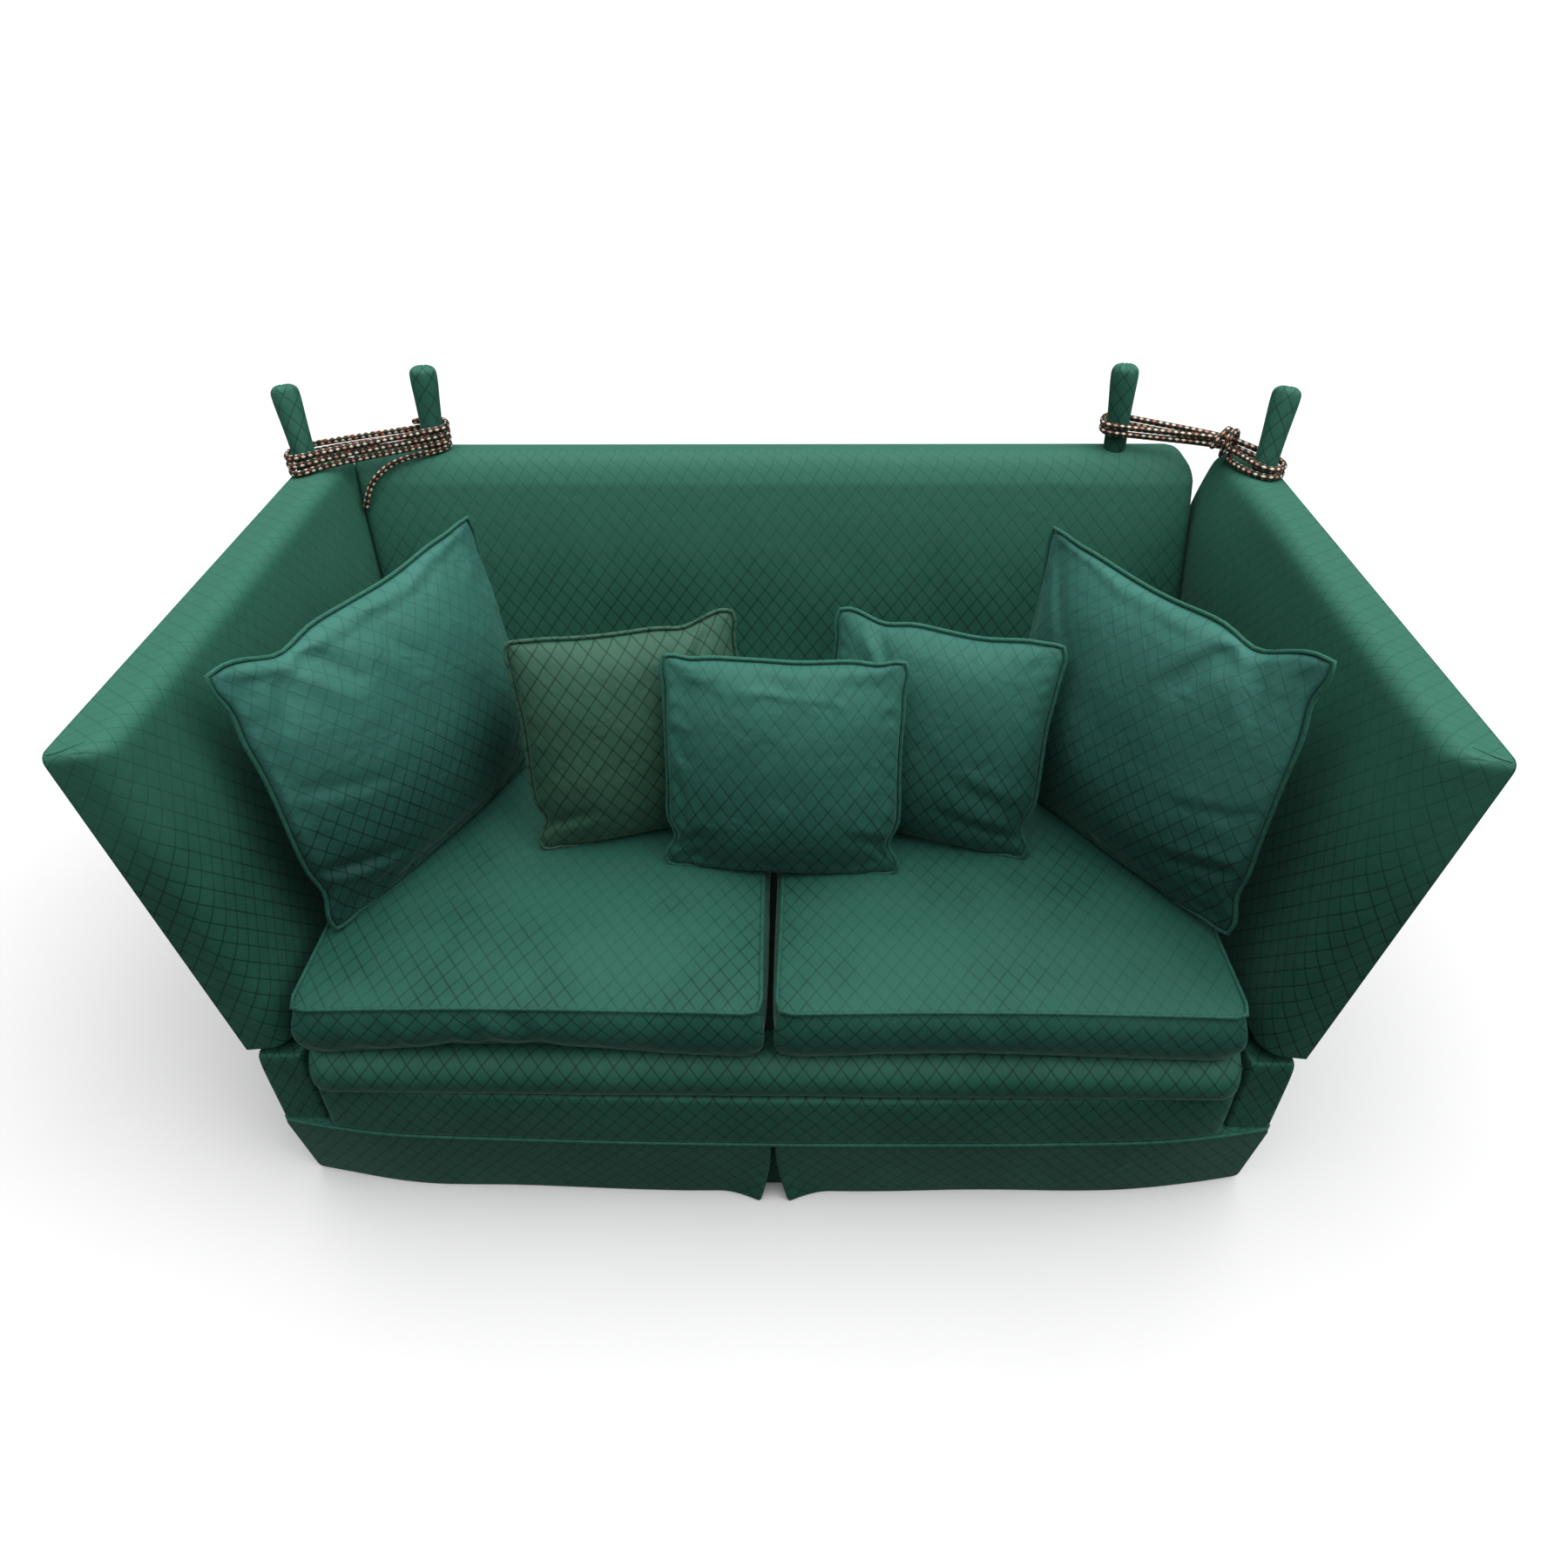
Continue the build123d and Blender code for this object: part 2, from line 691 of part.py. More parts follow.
# Back timber, set in the raked plane of the outside back
rake_plane = Plane(
    (0, back_outer_y(back_bottom) - back_panel_thickness, back_bottom),
    x_dir=(1, 0, 0),
    z_dir=(0, -cos(radians(back_outer_rake)), sin(radians(back_outer_rake))),
)
frame_height = (back_top - back_frame_top_margin - back_bottom) / cos(radians(back_outer_rake))
with BuildPart() as back_posts:
    with BuildSketch(rake_plane):
        with GridLocations(2 * back_frame_half_width - back_post_width, 0, 2, 1):
            Rectangle(back_post_width, frame_height, align=(Align.CENTER, Align.MIN))
    extrude(amount=back_frame_thickness)
back_rail_length = 2 * (back_frame_half_width - back_post_width)
back_peg_plane = {}
for side, sign in (("left", -1), ("right", 1)):
    back_peg_plane[side] = Plane(
        (back_peg_offset + sign * (half_width - back_peg_inset), half_depth + back_peg_overhang, back_top),
        x_dir=(1, 0, 0),
        z_dir=(0, sin(radians(back_peg_tilt)), cos(radians(back_peg_tilt))),
    )
with BuildPart() as back_top_rail:
    with BuildSketch(rake_plane):
        with Locations((0, frame_height - back_rail_height)):
            Rectangle(back_rail_length, back_rail_height, align=(Align.CENTER, Align.MIN))
    extrude(amount=back_frame_thickness)
with BuildPart() as back_bottom_rail:
    with BuildSketch(rake_plane):
        Rectangle(back_rail_length, back_rail_height, align=(Align.CENTER, Align.MIN))
    extrude(amount=back_frame_thickness)
upright_height = frame_height - 2 * back_rail_height
with BuildPart() as back_uprights:
    with BuildSketch(rake_plane):
        with Locations((0, back_rail_height)):
            with GridLocations(back_rail_length / (back_upright_count + 1), 0, back_upright_count, 1):
                Rectangle(back_post_width, upright_height, align=(Align.CENTER, Align.MIN))
    extrude(amount=back_frame_thickness)
with BuildPart() as back_webbing:
    with BuildSketch(rake_plane.offset(back_frame_thickness)):
        with Locations((0, frame_height / 2)):
            with GridLocations(0, frame_height / back_web_count, 1, back_web_count):
                Rectangle(2 * back_frame_half_width, webbing_width)
    extrude(amount=back_web_thickness)

# Padded inside back: raked face, rounded over the top, hollowed at the rear for the timber
with BuildPart() as inside_back:
    rear_y = back_outer_y(back_top) - back_panel_thickness
    with BuildSketch(Plane.YZ.offset(-base_width)):
        with BuildLine():
            face_y = back_face_y(face_round_bottom)
            top_y = face_y + back_round_rise
            face_round_middle = face_round_bottom + back_round_height_share * back_round_rise
            Polyline(
                (back_outer_y(back_bottom) - back_panel_thickness, back_bottom),
                (back_face_y(back_bottom), back_bottom),
                (face_y, face_round_bottom),
            )
            ThreePointArc(
                (face_y, face_round_bottom),
                (face_y + back_round_depth_share * back_round_rise, face_round_middle),
                (top_y, back_top),
            )
            Polyline(
                (top_y, back_top),
                (rear_y, back_top),
                (back_outer_y(back_bottom) - back_panel_thickness, back_bottom),
            )
        make_face()
    extrude(amount=2 * base_width)
    extrude(back_elevation.sketch, amount=base_depth, both=True, mode=Mode.INTERSECT)
    with BuildSketch(rake_plane.offset(-overrun)):
        Rectangle(2 * back_frame_half_width, frame_height, align=(Align.CENTER, Align.MIN))
    extrude(amount=overrun + back_frame_thickness + back_web_thickness, mode=Mode.SUBTRACT)

with BuildPart() as outside_back:
    panel_low = seam_top
    with BuildSketch(Plane.YZ.offset(-base_width)):
        with BuildLine():
            Polyline(
                (half_depth - stump_padding, panel_low),
                (half_depth - stump_padding, back_bottom),
                (back_outer_y(back_bottom) - back_panel_thickness, back_bottom),
                (back_outer_y(back_top) - back_panel_thickness, back_top),
                (back_outer_y(back_top), back_top),
                (back_outer_y(back_bottom), back_bottom),
                (back_outer_y(back_bottom), panel_low),
                close=True,
            )
        make_face()
    extrude(amount=2 * base_width)
    with BuildSketch(Plane.XZ) as panel_elevation:
        add(back_elevation.sketch)
        with Locations((0, (panel_low + back_bottom) / 2)):
            Rectangle(2 * back_foot, back_bottom - panel_low)
    extrude(panel_elevation.sketch, amount=base_depth, both=True, mode=Mode.INTERSECT)


# Fabric-covered peg: tenon, waisted shaft and domed head. Its foot is cut to the flat surface it stands on,
# which lies square to the upright direction at the foot of the plane.
def peg(plane):
    axis = plane.z_dir
    profile = [(peg_tenon_radius, -peg_tenon_length), (peg_tenon_radius, 0), (peg_base_radius, 0)]
    profile.append((peg_waist_radius, peg_waist_share * peg_height))
    for height_share, radius_share in peg_dome_shares:
        profile.append((radius_share * peg_head_radius, height_share * peg_height))
    rings = []
    for radius, height in profile:
        ring = []
        for facet in range(peg_facets):
            angle = 2 * pi * facet / peg_facets
            point = plane.from_local_coords((radius * cos(angle), radius * sin(angle), height))
            point = Vector(*point)
            if height == 0:
                point = point - axis * ((point.Z - plane.origin.Z - fit_gap) / axis.Z)
            ring.append(point)
        rings.append(ring)
    return faceted_solid(rings)


# Hole for a peg's tenon.
def peg_socket(plane):
    with BuildPart() as socket:
        with BuildSketch(Plane.XY.offset(-peg_tenon_length - peg_socket_gap)):
            Circle(peg_tenon_radius + peg_socket_gap)
        extrude(amount=peg_tenon_length + peg_base_radius)
    return plane.location * socket.part


for side in ("left", "right"):
    export(peg(back_peg_plane[side]), f"{side}_back_peg")
    socket = peg_socket(back_peg_plane[side])
    inside_back.part -= socket
    outside_back.part -= socket
    back_posts.part -= socket
    back_top_rail.part -= socket
    back_webbing.part -= socket
export(back_posts.part, "back_posts")
export(back_top_rail.part, "back_top_rail")
export(back_bottom_rail.part, "back_bottom_rail")
export(back_uprights.part, "back_uprights")
export(back_webbing.part, "back_webbing")
export(inside_back.part, "inside_back")
export(outside_back.part, "outside_back")

# Drop arms, made upright at the right hinge and then leaned out and mirrored
arm_bottom = arm_lift
arm_top = arm_lift + arm_height
frame_front = half_depth - arm_pad_front
frame_top = arm_top - arm_pad_top
frame_inner = arm_frame_thickness
arm_peg_plane = {}
for side in ("left", "right"):
    arm_peg_plane[side] = Plane(
        (arm_outer - arm_peg_inset[side], half_depth - arm_peg_setback[side], arm_top),
        x_dir=(1, 0, -tan(radians(arm_peg_splay[side]))),
        z_dir=(tan(radians(arm_peg_splay[side])), tan(radians(arm_peg_tilt)), 1),
    )

with BuildPart() as arm_posts:
    with BuildSketch(Plane.XY.offset(arm_bottom)):
        with Locations((-frame_inner / 2, 0)):
            with GridLocations(0, (2 * frame_front - arm_post_width) / 2, 1, 3):
                Rectangle(arm_frame_thickness, arm_post_width)
    extrude(amount=frame_top - arm_bottom - arm_rail_height)
with BuildPart() as arm_top_rail:
    with BuildSketch(Plane.XY.offset(frame_top - arm_rail_height)):
        with Locations((-frame_inner / 2, 0)):
            Rectangle(arm_frame_thickness, 2 * frame_front)
    extrude(amount=arm_rail_height)
arm_bay = frame_front - arm_post_width * 1.5
with BuildPart() as arm_bottom_rails:
    with BuildSketch(Plane.XY.offset(arm_bottom)):
        with Locations((-frame_inner / 2, 0)):
            with GridLocations(0, arm_bay + arm_post_width, 1, 2):
                Rectangle(arm_frame_thickness, arm_bay)
    extrude(amount=arm_rail_height)
web_height = frame_top - arm_bottom - 2 * arm_rail_height
with BuildPart() as arm_webbing:
    with BuildSketch(Plane.YZ.offset(-frame_inner - webbing_thickness)):
        with Locations((0, arm_bottom + arm_rail_height + web_height / 2)):
            with GridLocations(0, web_height / arm_web_count, 1, arm_web_count):
                Rectangle(2 * frame_front, webbing_width)
    extrude(amount=webbing_thickness)

with BuildPart() as arm_pad:
    with BuildSketch(Plane.XZ.offset(-half_depth)):
        with BuildLine():
            Polyline(
                (0, arm_bottom),
                (-arm_inner_bottom, arm_bottom),
                (-arm_inner_top, arm_top),
                (0, arm_top),
                close=True,
            )
        make_face()
    extrude(amount=base_depth)
    fillet(arm_pad.edges().filter_by(Axis.Y).group_by(Axis.Z)[-1].sort_by(Axis.X)[0], arm_top_round)
    inner_front = arm_pad.faces().sort_by(Axis.Y)[0].edges().sort_by(Axis.X)[0:2]
    fillet(inner_front, arm_front_round)
    with BuildSketch(Plane.XY.offset(arm_bottom - overrun)):
        with Locations((-frame_inner / 2 + overrun / 2, 0)):
            Rectangle(frame_inner + overrun, 2 * frame_front)
    extrude(amount=frame_top - arm_bottom + overrun, mode=Mode.SUBTRACT)
    with BuildSketch(Plane.YZ.offset(-frame_inner - webbing_thickness)):
        with Locations((0, arm_bottom + (frame_top - arm_bottom) / 2)):
            Rectangle(2 * frame_front, frame_top - arm_bottom)
    extrude(amount=webbing_thickness, mode=Mode.SUBTRACT)

with BuildPart() as arm_panel:
    with BuildSketch(Plane.YZ):
        with Locations((0, arm_bottom + arm_height / 2)):
            Rectangle(base_depth, arm_height)
    extrude(amount=arm_outer)
    fillet(arm_panel.faces().sort_by(Axis.X)[-1].edges(), arm_outer_round)

for side in ("left", "right"):
    arm_socket = peg_socket(arm_peg_plane[side])
    arm_peg = peg(arm_peg_plane[side])
    export(on_arm(arm_posts.part - arm_socket, side), f"{side}_arm_posts")
    export(on_arm(arm_top_rail.part - arm_socket, side), f"{side}_arm_top_rail")
    export(on_arm(arm_bottom_rails.part, side), f"{side}_arm_bottom_rails")
    export(on_arm(arm_webbing.part, side), f"{side}_arm_webbing")
    export(on_arm(arm_pad.part - arm_socket, side), f"{side}_arm_pad")
    export(on_arm(arm_panel.part - arm_socket, side), f"{side}_arm_panel")
    export(on_arm(arm_peg, side), f"{side}_arm_peg")

# Butt hinges: two outer knuckles on the stump's leaf, one between them on the arm's leaf, one pin
knuckle = hinge_length / 3
pin_hole_radius = hinge_pin_radius + hinge_pin_gap
leaf_top = stump_top + hinge_leaf_thickness + fit_gap
with BuildPart() as hinge_base_leaves:
    for place in range(hinge_count):
        middle = (place - (hinge_count - 1) / 2) * hinge_spacing
        with BuildSketch(Plane.XZ.offset(-middle - hinge_length / 2)):
            with Locations((hinge_x - hinge_leaf_width / 2, stump_top + fit_gap + hinge_leaf_thickness / 2)):
                Rectangle(hinge_leaf_width, hinge_leaf_thickness)
        extrude(amount=hinge_length)
        for end in (-1, 1):
            start = middle + end * knuckle + knuckle / 2 - hinge_knuckle_gap / 2
            with BuildSketch(Plane.XZ.offset(-start)):
                with Locations((hinge_x, hinge_z)):
                    RegularPolygon(hinge_barrel_radius, hinge_barrel_facets)
                with Locations((hinge_x - hinge_leaf_thickness / 2, (hinge_z + leaf_top) / 2)):
                    Rectangle(hinge_leaf_thickness, hinge_z - leaf_top + hinge_leaf_thickness)
                with Locations((hinge_x, hinge_z)):
                    RegularPolygon(pin_hole_radius, hinge_pin_facets, major_radius=False, mode=Mode.SUBTRACT)
            extrude(amount=knuckle - hinge_knuckle_gap)
with BuildPart() as hinge_arm_leaves:
    for place in range(hinge_count):
        middle = (place - (hinge_count - 1) / 2) * hinge_spacing
        leaf_low = arm_lift - fit_gap - hinge_leaf_thickness
        with BuildSketch(Plane.XZ.offset(-middle - hinge_length / 2)):
            with Locations((-hinge_leaf_width / 2, leaf_low + hinge_leaf_thickness / 2)):
                Rectangle(hinge_leaf_width, hinge_leaf_thickness)
        extrude(amount=hinge_length)
        start = middle + knuckle / 2 - hinge_knuckle_gap / 2
        with BuildSketch(Plane.XZ.offset(-start)):
            RegularPolygon(hinge_barrel_radius, hinge_barrel_facets)
            with Locations((-hinge_leaf_thickness / 2, leaf_low / 2)):
                Rectangle(hinge_leaf_thickness, leaf_low + hinge_leaf_thickness)
            RegularPolygon(pin_hole_radius, hinge_pin_facets, major_radius=False, mode=Mode.SUBTRACT)
        extrude(amount=knuckle - hinge_knuckle_gap)
with BuildPart() as hinge_pins:
    for place in range(hinge_count):
        middle = (place - (hinge_count - 1) / 2) * hinge_spacing
        with BuildSketch(Plane.XZ.offset(-middle - hinge_length / 2)):
            with Locations((hinge_x, hinge_z)):
                RegularPolygon(hinge_pin_radius, hinge_pin_facets)
        extrude(amount=hinge_length)
export(hinge_base_leaves.part, "right_hinge_base_leaves")
export(mirror(hinge_base_leaves.part, about=Plane.YZ), "left_hinge_base_leaves")
export(hinge_pins.part, "right_hinge_pins")
export(mirror(hinge_pins.part, about=Plane.YZ), "left_hinge_pins")
for side in ("left", "right"):
    export(on_arm(hinge_arm_leaves.part, side), f"{side}_hinge_arm_leaves")

# Seat cushions
for side, sign in (("left", -1), ("right", 1)):
    seat_inner = seat_middle_gap[side]
    seat_outer = stump_inner - seat_side_gap[side]
    seat_left = min(sign * seat_inner, sign * seat_outer)
    export(box_cushion(seat_left, seat_outer - seat_inner), f"{side}_seat_cushion")
seat_top = seat_bottom + seat_height


# Plane of a cushion that stands on the seat: turned about the vertical, leaned back, then rolled.
def cushion_plane(x, y, z, turn, lean, roll):
    yaw, back, tip = radians(turn), radians(lean), radians(roll)
    across = Vector(cos(yaw), sin(yaw), 0)
    up = Vector(-sin(yaw) * sin(back), cos(yaw) * sin(back), cos(back))
    x_dir = across * cos(tip) + up * sin(tip)
    return Plane((x, y, z), x_dir=x_dir, z_dir=across.cross(up))


# Sets a cushion down until its lowest point stands on the seat.
def on_seat(piece):
    return Pos(0, 0, seat_top + fit_gap - piece.bounding_box().min.Z) * piece


# Where each scatter cushion leans: middle x, y and z, turn, lean and roll
left_large_place = (large_setback["left"] - half_width, -95, 764, 62, 8, -0.5)
right_large_place = (half_width - large_setback["right"], -110, 770, -56, 8, 2)
left_small_place = (-242, -54, 712, 16, 14, 0)
right_small_place = (272, -58, 713, -16.4, 17.5, -1)
middle_small_place = (14, -142, 705, -3, 16.5, 0)
large_size = (large_width, large_height, large_thickness)
small_size = (small_width, small_height, small_thickness)
scatter_cushions = (
    ("left_large_cushion", left_large_place, large_size),
    ("right_large_cushion", right_large_place, large_size),
    ("left_small_cushion", left_small_place, small_size),
    ("right_small_cushion", right_small_place, small_size),
    ("middle_small_cushion", middle_small_place, small_size),
)
for name, place, size in scatter_cushions:
    export(on_seat(pillow(cushion_plane(*place), *size)), name)


# The two corners of a rope's route round a peg: where the lines that come and go touch the ring round the
# peg, drawn on to the ring's far side. Winding is 1 anticlockwise from above and -1 clockwise.
def peg_corners(axis_line, up, level, winding, come, go):
    axis = axis_line % 0
    lean = axis.dot(up)
    centre = (axis_line @ 0) + axis * (level / lean)
    ring = (peg_base_radius + rope_radius + rope_gap) / lean
    across = (come + go) / 2 - centre
    across = (across - up * across.dot(up)).normalized()
    beside = up.cross(across)
    corners = []
    for side, goal in ((winding, come), (-winding, go)):
        ahead = (goal - centre).dot(across)
        aside = side * (goal - centre).dot(beside)
        touch = atan2(aside, ahead) + acos(ring / sqrt(ahead**2 + aside**2))
        width = ring * (1 + cos(touch)) / sin(touch)
        corners.append(centre - across * ring + beside * side * width)
    return corners


# Largest arc at each corner of a route, no larger than the ring round a peg where the turn is a square one.
def rope_radii(points, ring_radius):
    radii = []
    for before, here, after in zip(points, points[1:], points[2:]):
        turn = radians((here - before).get_angle(after - here))
        shorter = min((here - before).length, (after - here).length)
        radius = rope_reach_share * shorter / tan(turn / 2)
        if turn > radians(square_turn):
            radius = min(ring_radius, rope_ease_share * shorter / 2 / tan(turn / 2))
        radii.append(radius)
    return radii


# Least gap between two stretches of one rope, measured on points along its middle line.
def least_self_gap(line, step, skip):
    count = int(line.length / step)
    points = [tuple(line.position_at(i / count)) for i in range(count + 1)]
    away = int(skip / step)
    least = line.length
    for i in range(count + 1):
        x, y, z = points[i]
        for other in points[i + away :]:
            apart = (x - other[0]) ** 2 + (y - other[1]) ** 2 + (z - other[2]) ** 2
            if apart < least:
                least = apart
    return sqrt(least) - rope_diameter


# Many-sided tube along a line, its sides kept from twisting, with rings at the ends of every arc and between
def tube(line, radius, facets):
    places = [0]
    for edge in line.order_edges():
        steps = ceil((edge % 0).get_angle(edge % 1) / rope_arc_step)
        steps = max(steps, 1)
        places += [places[-1] + edge.length * (step + 1) / steps for step in range(steps)]
    tangent = line % 0
    normal = tangent.cross(Vector(0, 0, 1)).normalized()
    rings = []
    for place in places:
        share = min(place / places[-1], 1)
        tangent = line.tangent_at(share)
        normal = (normal - tangent * normal.dot(tangent)).normalized()
        beside = tangent.cross(normal)
        centre = line.position_at(share)
        ring = []
        for facet in range(facets):
            turn = 2 * pi * facet / facets
            ring.append(centre + normal * (radius * cos(turn)) + beside * (radius * sin(turn)))
        rings.append(ring)
    return faceted_solid(rings)


# One rope: straight runs joined by arcs, made as a tube
def rope(points, name):
    radii = rope_radii(points, peg_base_radius + rope_radius)
    with BuildLine() as route:
        FilletPolyline(*points, radius=radii)
    line = route.wires()[0]
    gap = least_self_gap(line, rope_radius / 2, 4 * rope_diameter)
    print(name, "length", round(line.length), "least radius", round(min(radii), 1), "self-gap", round(gap, 2))
    export(tube(line, rope_radius, rope_facets), name)


peg_line = {}
arm_up = {}
for side in ("left", "right"):
    low = arm_peg_plane[side].origin
    axis_edge = on_arm(Edge.make_line(low, low + arm_peg_plane[side].z_dir * peg_height), side)
    up_edge = on_arm(Edge.make_line(low, low + Vector(0, 0, peg_height)), side)
    peg_line[side] = Edge.make_line(*sorted((axis_edge @ 0, axis_edge @ 1), key=lambda point: point.Z))
    up_ends = sorted((up_edge @ 0, up_edge @ 1), key=lambda point: point.Z)
    arm_up[side] = (up_ends[1] - up_ends[0]).normalized()
back_line = {}
for side in ("left", "right"):
    low = back_peg_plane[side].origin
    back_line[side] = Edge.make_line(low, low + back_peg_plane[side].z_dir * peg_height)
back_up = Vector(0, 0, 1)

# Left rope: a tail hangs at the front of the back, then the rope winds up both pegs side by side,
# bent where it crosses the crest of the arm's rounded top
first_level = rope_radius + rope_gap
left_lean = radians(arm_lean_left)
crest_height = (arm_top - arm_top_round) * cos(left_lean) + (arm_inner_top - arm_top_round) * sin(left_lean)
crest = (peg_line["left"] @ 0) * (1 - left_crest_share) + (back_line["left"] @ 0) * left_crest_share
crest_height += hinge_z + arm_top_round + first_level + left_crest_clearance
crest = Vector(crest.X, crest.Y, crest_height)
apart = Vector(0, peg_base_radius + rope_radius, 0)
back_corner = Vector(half_width, half_depth, back_top)
left_points = [Vector(x - half_width, y + half_depth, z + back_top) for x, y, z in left_tail]
for turn in range(left_turns):
    level = first_level + turn * rope_pitch
    come = left_points[-1]
    go = crest + apart + Vector(0, 0, turn * rope_pitch)
    left_points += peg_corners(back_line["left"], back_up, level, 1, come, go)
    if turn < left_turns - 1:
        back_again = go - 2 * apart
        left_points.append(go)
        left_points += peg_corners(peg_line["left"], arm_up["left"], level, 1, go, back_again)
        left_points.append(back_again)
left_points.append(left_points[-1] + (go - left_points[-1]).normalized() * left_end)
rope(left_points, "left_rope")

# Right rope: two turns drawn together between the pegs, where its end is wrapped round them in a knot
knot = back_corner + Vector(*right_knot)
along = (knot - (back_line["right"] @ 0)).normalized() + ((peg_line["right"] @ 0) - knot).normalized()
along = along.normalized()
behind = back_up.cross(along).normalized()
over = along.cross(behind)
near = knot - along * right_knot_half
past = knot + along * right_knot_half
half_pitch = rope_pitch / 2
aside = behind * half_pitch
right_points = [near - aside + over * half_pitch + along * right_start_inset]
for turn in range(right_turns):
    step_up = (right_turns - 1 - turn) * rope_pitch
    rise = over * (step_up - half_pitch)
    back_level = right_start_height + rope_radius + step_up
    arm_level = first_level + rope_gap + step_up
    come = near - aside + rise
    go = near + aside + rise
    right_points += peg_corners(back_line["right"], back_up, back_level, -1, come, go)
    right_points.append(go)
    right_points.append(past + aside + rise)
    right_points += peg_corners(peg_line["right"], arm_up["right"], arm_level, -1, past + aside, past - aside)
    if turn < right_turns - 1:
        right_points.append(past - aside - rise - behind * right_fan)
        right_points.append(near - aside - rise)
wrap = half_pitch * sqrt(2) + rope_diameter + rope_gap + right_fan / 2
wrap_sides = ((-1, -1), (1, -1), (1, 1), (-1, 1))
wrap_corners = len(wrap_sides)
wrap_steps = wrap_corners * right_knot_wraps
for step in range(wrap_steps):
    out, up = wrap_sides[step % wrap_corners]
    shift = rope_pitch * (wrap_steps / 2 - step) / wrap_corners
    right_points.append(knot + behind * out * wrap + over * up * wrap + along * shift)
right_points.append(right_points[-1] - over * right_tail - along * rope_diameter)
rope(right_points, "right_rope")
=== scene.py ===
from math import acos, asin, atan2, copysign, cos, exp, hypot, pi, radians, sin, sqrt, tan
import bpy
from mathutils import Matrix, Vector, noise


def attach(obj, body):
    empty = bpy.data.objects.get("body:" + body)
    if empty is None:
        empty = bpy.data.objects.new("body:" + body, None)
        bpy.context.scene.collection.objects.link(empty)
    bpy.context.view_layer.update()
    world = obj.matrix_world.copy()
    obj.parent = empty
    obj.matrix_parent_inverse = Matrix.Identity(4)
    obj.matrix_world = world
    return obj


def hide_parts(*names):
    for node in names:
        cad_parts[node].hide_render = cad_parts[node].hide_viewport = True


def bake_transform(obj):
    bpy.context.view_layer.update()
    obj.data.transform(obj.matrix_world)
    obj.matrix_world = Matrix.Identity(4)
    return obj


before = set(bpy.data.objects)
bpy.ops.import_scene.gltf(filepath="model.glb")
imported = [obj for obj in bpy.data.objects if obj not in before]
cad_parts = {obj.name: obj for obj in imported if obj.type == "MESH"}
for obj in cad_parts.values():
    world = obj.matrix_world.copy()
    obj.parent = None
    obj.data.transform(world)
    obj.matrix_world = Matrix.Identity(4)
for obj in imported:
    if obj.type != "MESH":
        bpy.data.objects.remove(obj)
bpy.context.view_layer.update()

# Knole sofa, in metres, +Z up, front towards -Y, as in the part's source.

# The photograph's camera
PHOTO_SIZE = 1800
PHOTO_FOCUS = 1248.7
PHOTO_CENTRE_Y = 828.8
CAMERA_PLACE = (0.0495, -1.5498, 1.850)
CAMERA_YAW = -1.3
CAMERA_PITCH = 36.87
CAMERA_ROLL = 0.59

# Sizes shared with the source
HALF_WIDTH = 0.842
HALF_DEPTH = 0.476
STUMP_INNER = 0.764
STUMP_TOP = 0.36
BASE_LOW = 0.1898
SKIRT_TOP = 0.186
FLOOR_GAP = 0.004
HINGE_X = 0.846
HINGE_Z = 0.3685
ARM_LEAN = {"left": 7.9, "right": 9.3}
ARM_LOW = 0.009
ARM_HIGH = 0.621
ARM_TOP_ROUND = 0.032
ARM_INNER_TOP = 0.084
BACK_TOP = 0.985
SEAT_LOW = 0.392
SEAT_HIGH = 0.513
LATTICE_WIDE = 0.030
LATTICE_TALL = 0.040
ROPE_THICK = 0.012
THREAD_HIGH = 0.0004
STRANDS = 4
STRAND_STEP = 0.0125
PIPING = 0.0034
SIDES = (("left", -1), ("right", 1))


def place_camera():
    """The camera stands where the photograph was taken from."""
    yaw, pitch, roll = (radians(a) for a in (CAMERA_YAW, CAMERA_PITCH, CAMERA_ROLL))
    ahead = Vector((sin(yaw) * cos(pitch), cos(yaw) * cos(pitch), -sin(pitch)))
    level = Vector((cos(yaw), -sin(yaw), 0))
    below = ahead.cross(level)
    right = level * cos(roll) + below * sin(roll)
    down = below * cos(roll) - level * sin(roll)
    data = bpy.data.cameras.new("photo_camera")
    data.sensor_width = 36
    data.lens = PHOTO_FOCUS / PHOTO_SIZE * data.sensor_width
    data.shift_y = (PHOTO_CENTRE_Y - PHOTO_SIZE / 2) / PHOTO_SIZE
    camera = bpy.data.objects.new("photo_camera", data)
    turn = Matrix((right, -down, -ahead)).transposed().to_4x4()
    camera.matrix_world = Matrix.Translation(CAMERA_PLACE) @ turn
    bpy.context.scene.collection.objects.link(camera)
    bpy.context.scene.camera = camera


place_camera()

# Modelling


def choose(*pieces):
    """Selects pieces, the first of them active."""
    bpy.ops.object.select_all(action="DESELECT")
    for piece in pieces:
        piece.select_set(True)
    bpy.context.view_layer.objects.active = pieces[0]


def named(name):
    """The object that has just been added, under its name and with its place taken up in its points."""
    piece = bpy.context.object
    piece.name = piece.data.name = name
    bpy.ops.object.transform_apply(location=True)
    return piece


def cut_across(*cuts):
    """Cuts the chosen piece across at the given shares of its width, depth and height."""
    bpy.ops.object.mode_set(mode="EDIT")
    for axis, shares in enumerate(cuts):
        for share in shares:
            middle, across = [0.5] * 3, [0.0] * 3
            middle[axis], across[axis] = share, 1.0
            bpy.ops.mesh.select_all(action="SELECT")
            bpy.ops.mesh.bisect(plane_co=middle, plane_no=across)
    bpy.ops.object.mode_set(mode="OBJECT")


def block(name, *cuts):
    """A block from 0 to 1 each way, cut across."""
    bpy.ops.mesh.primitive_cube_add(size=1, location=(0.5, 0.5, 0.5))
    piece = named(name)
    cut_across(*cuts)
    return piece


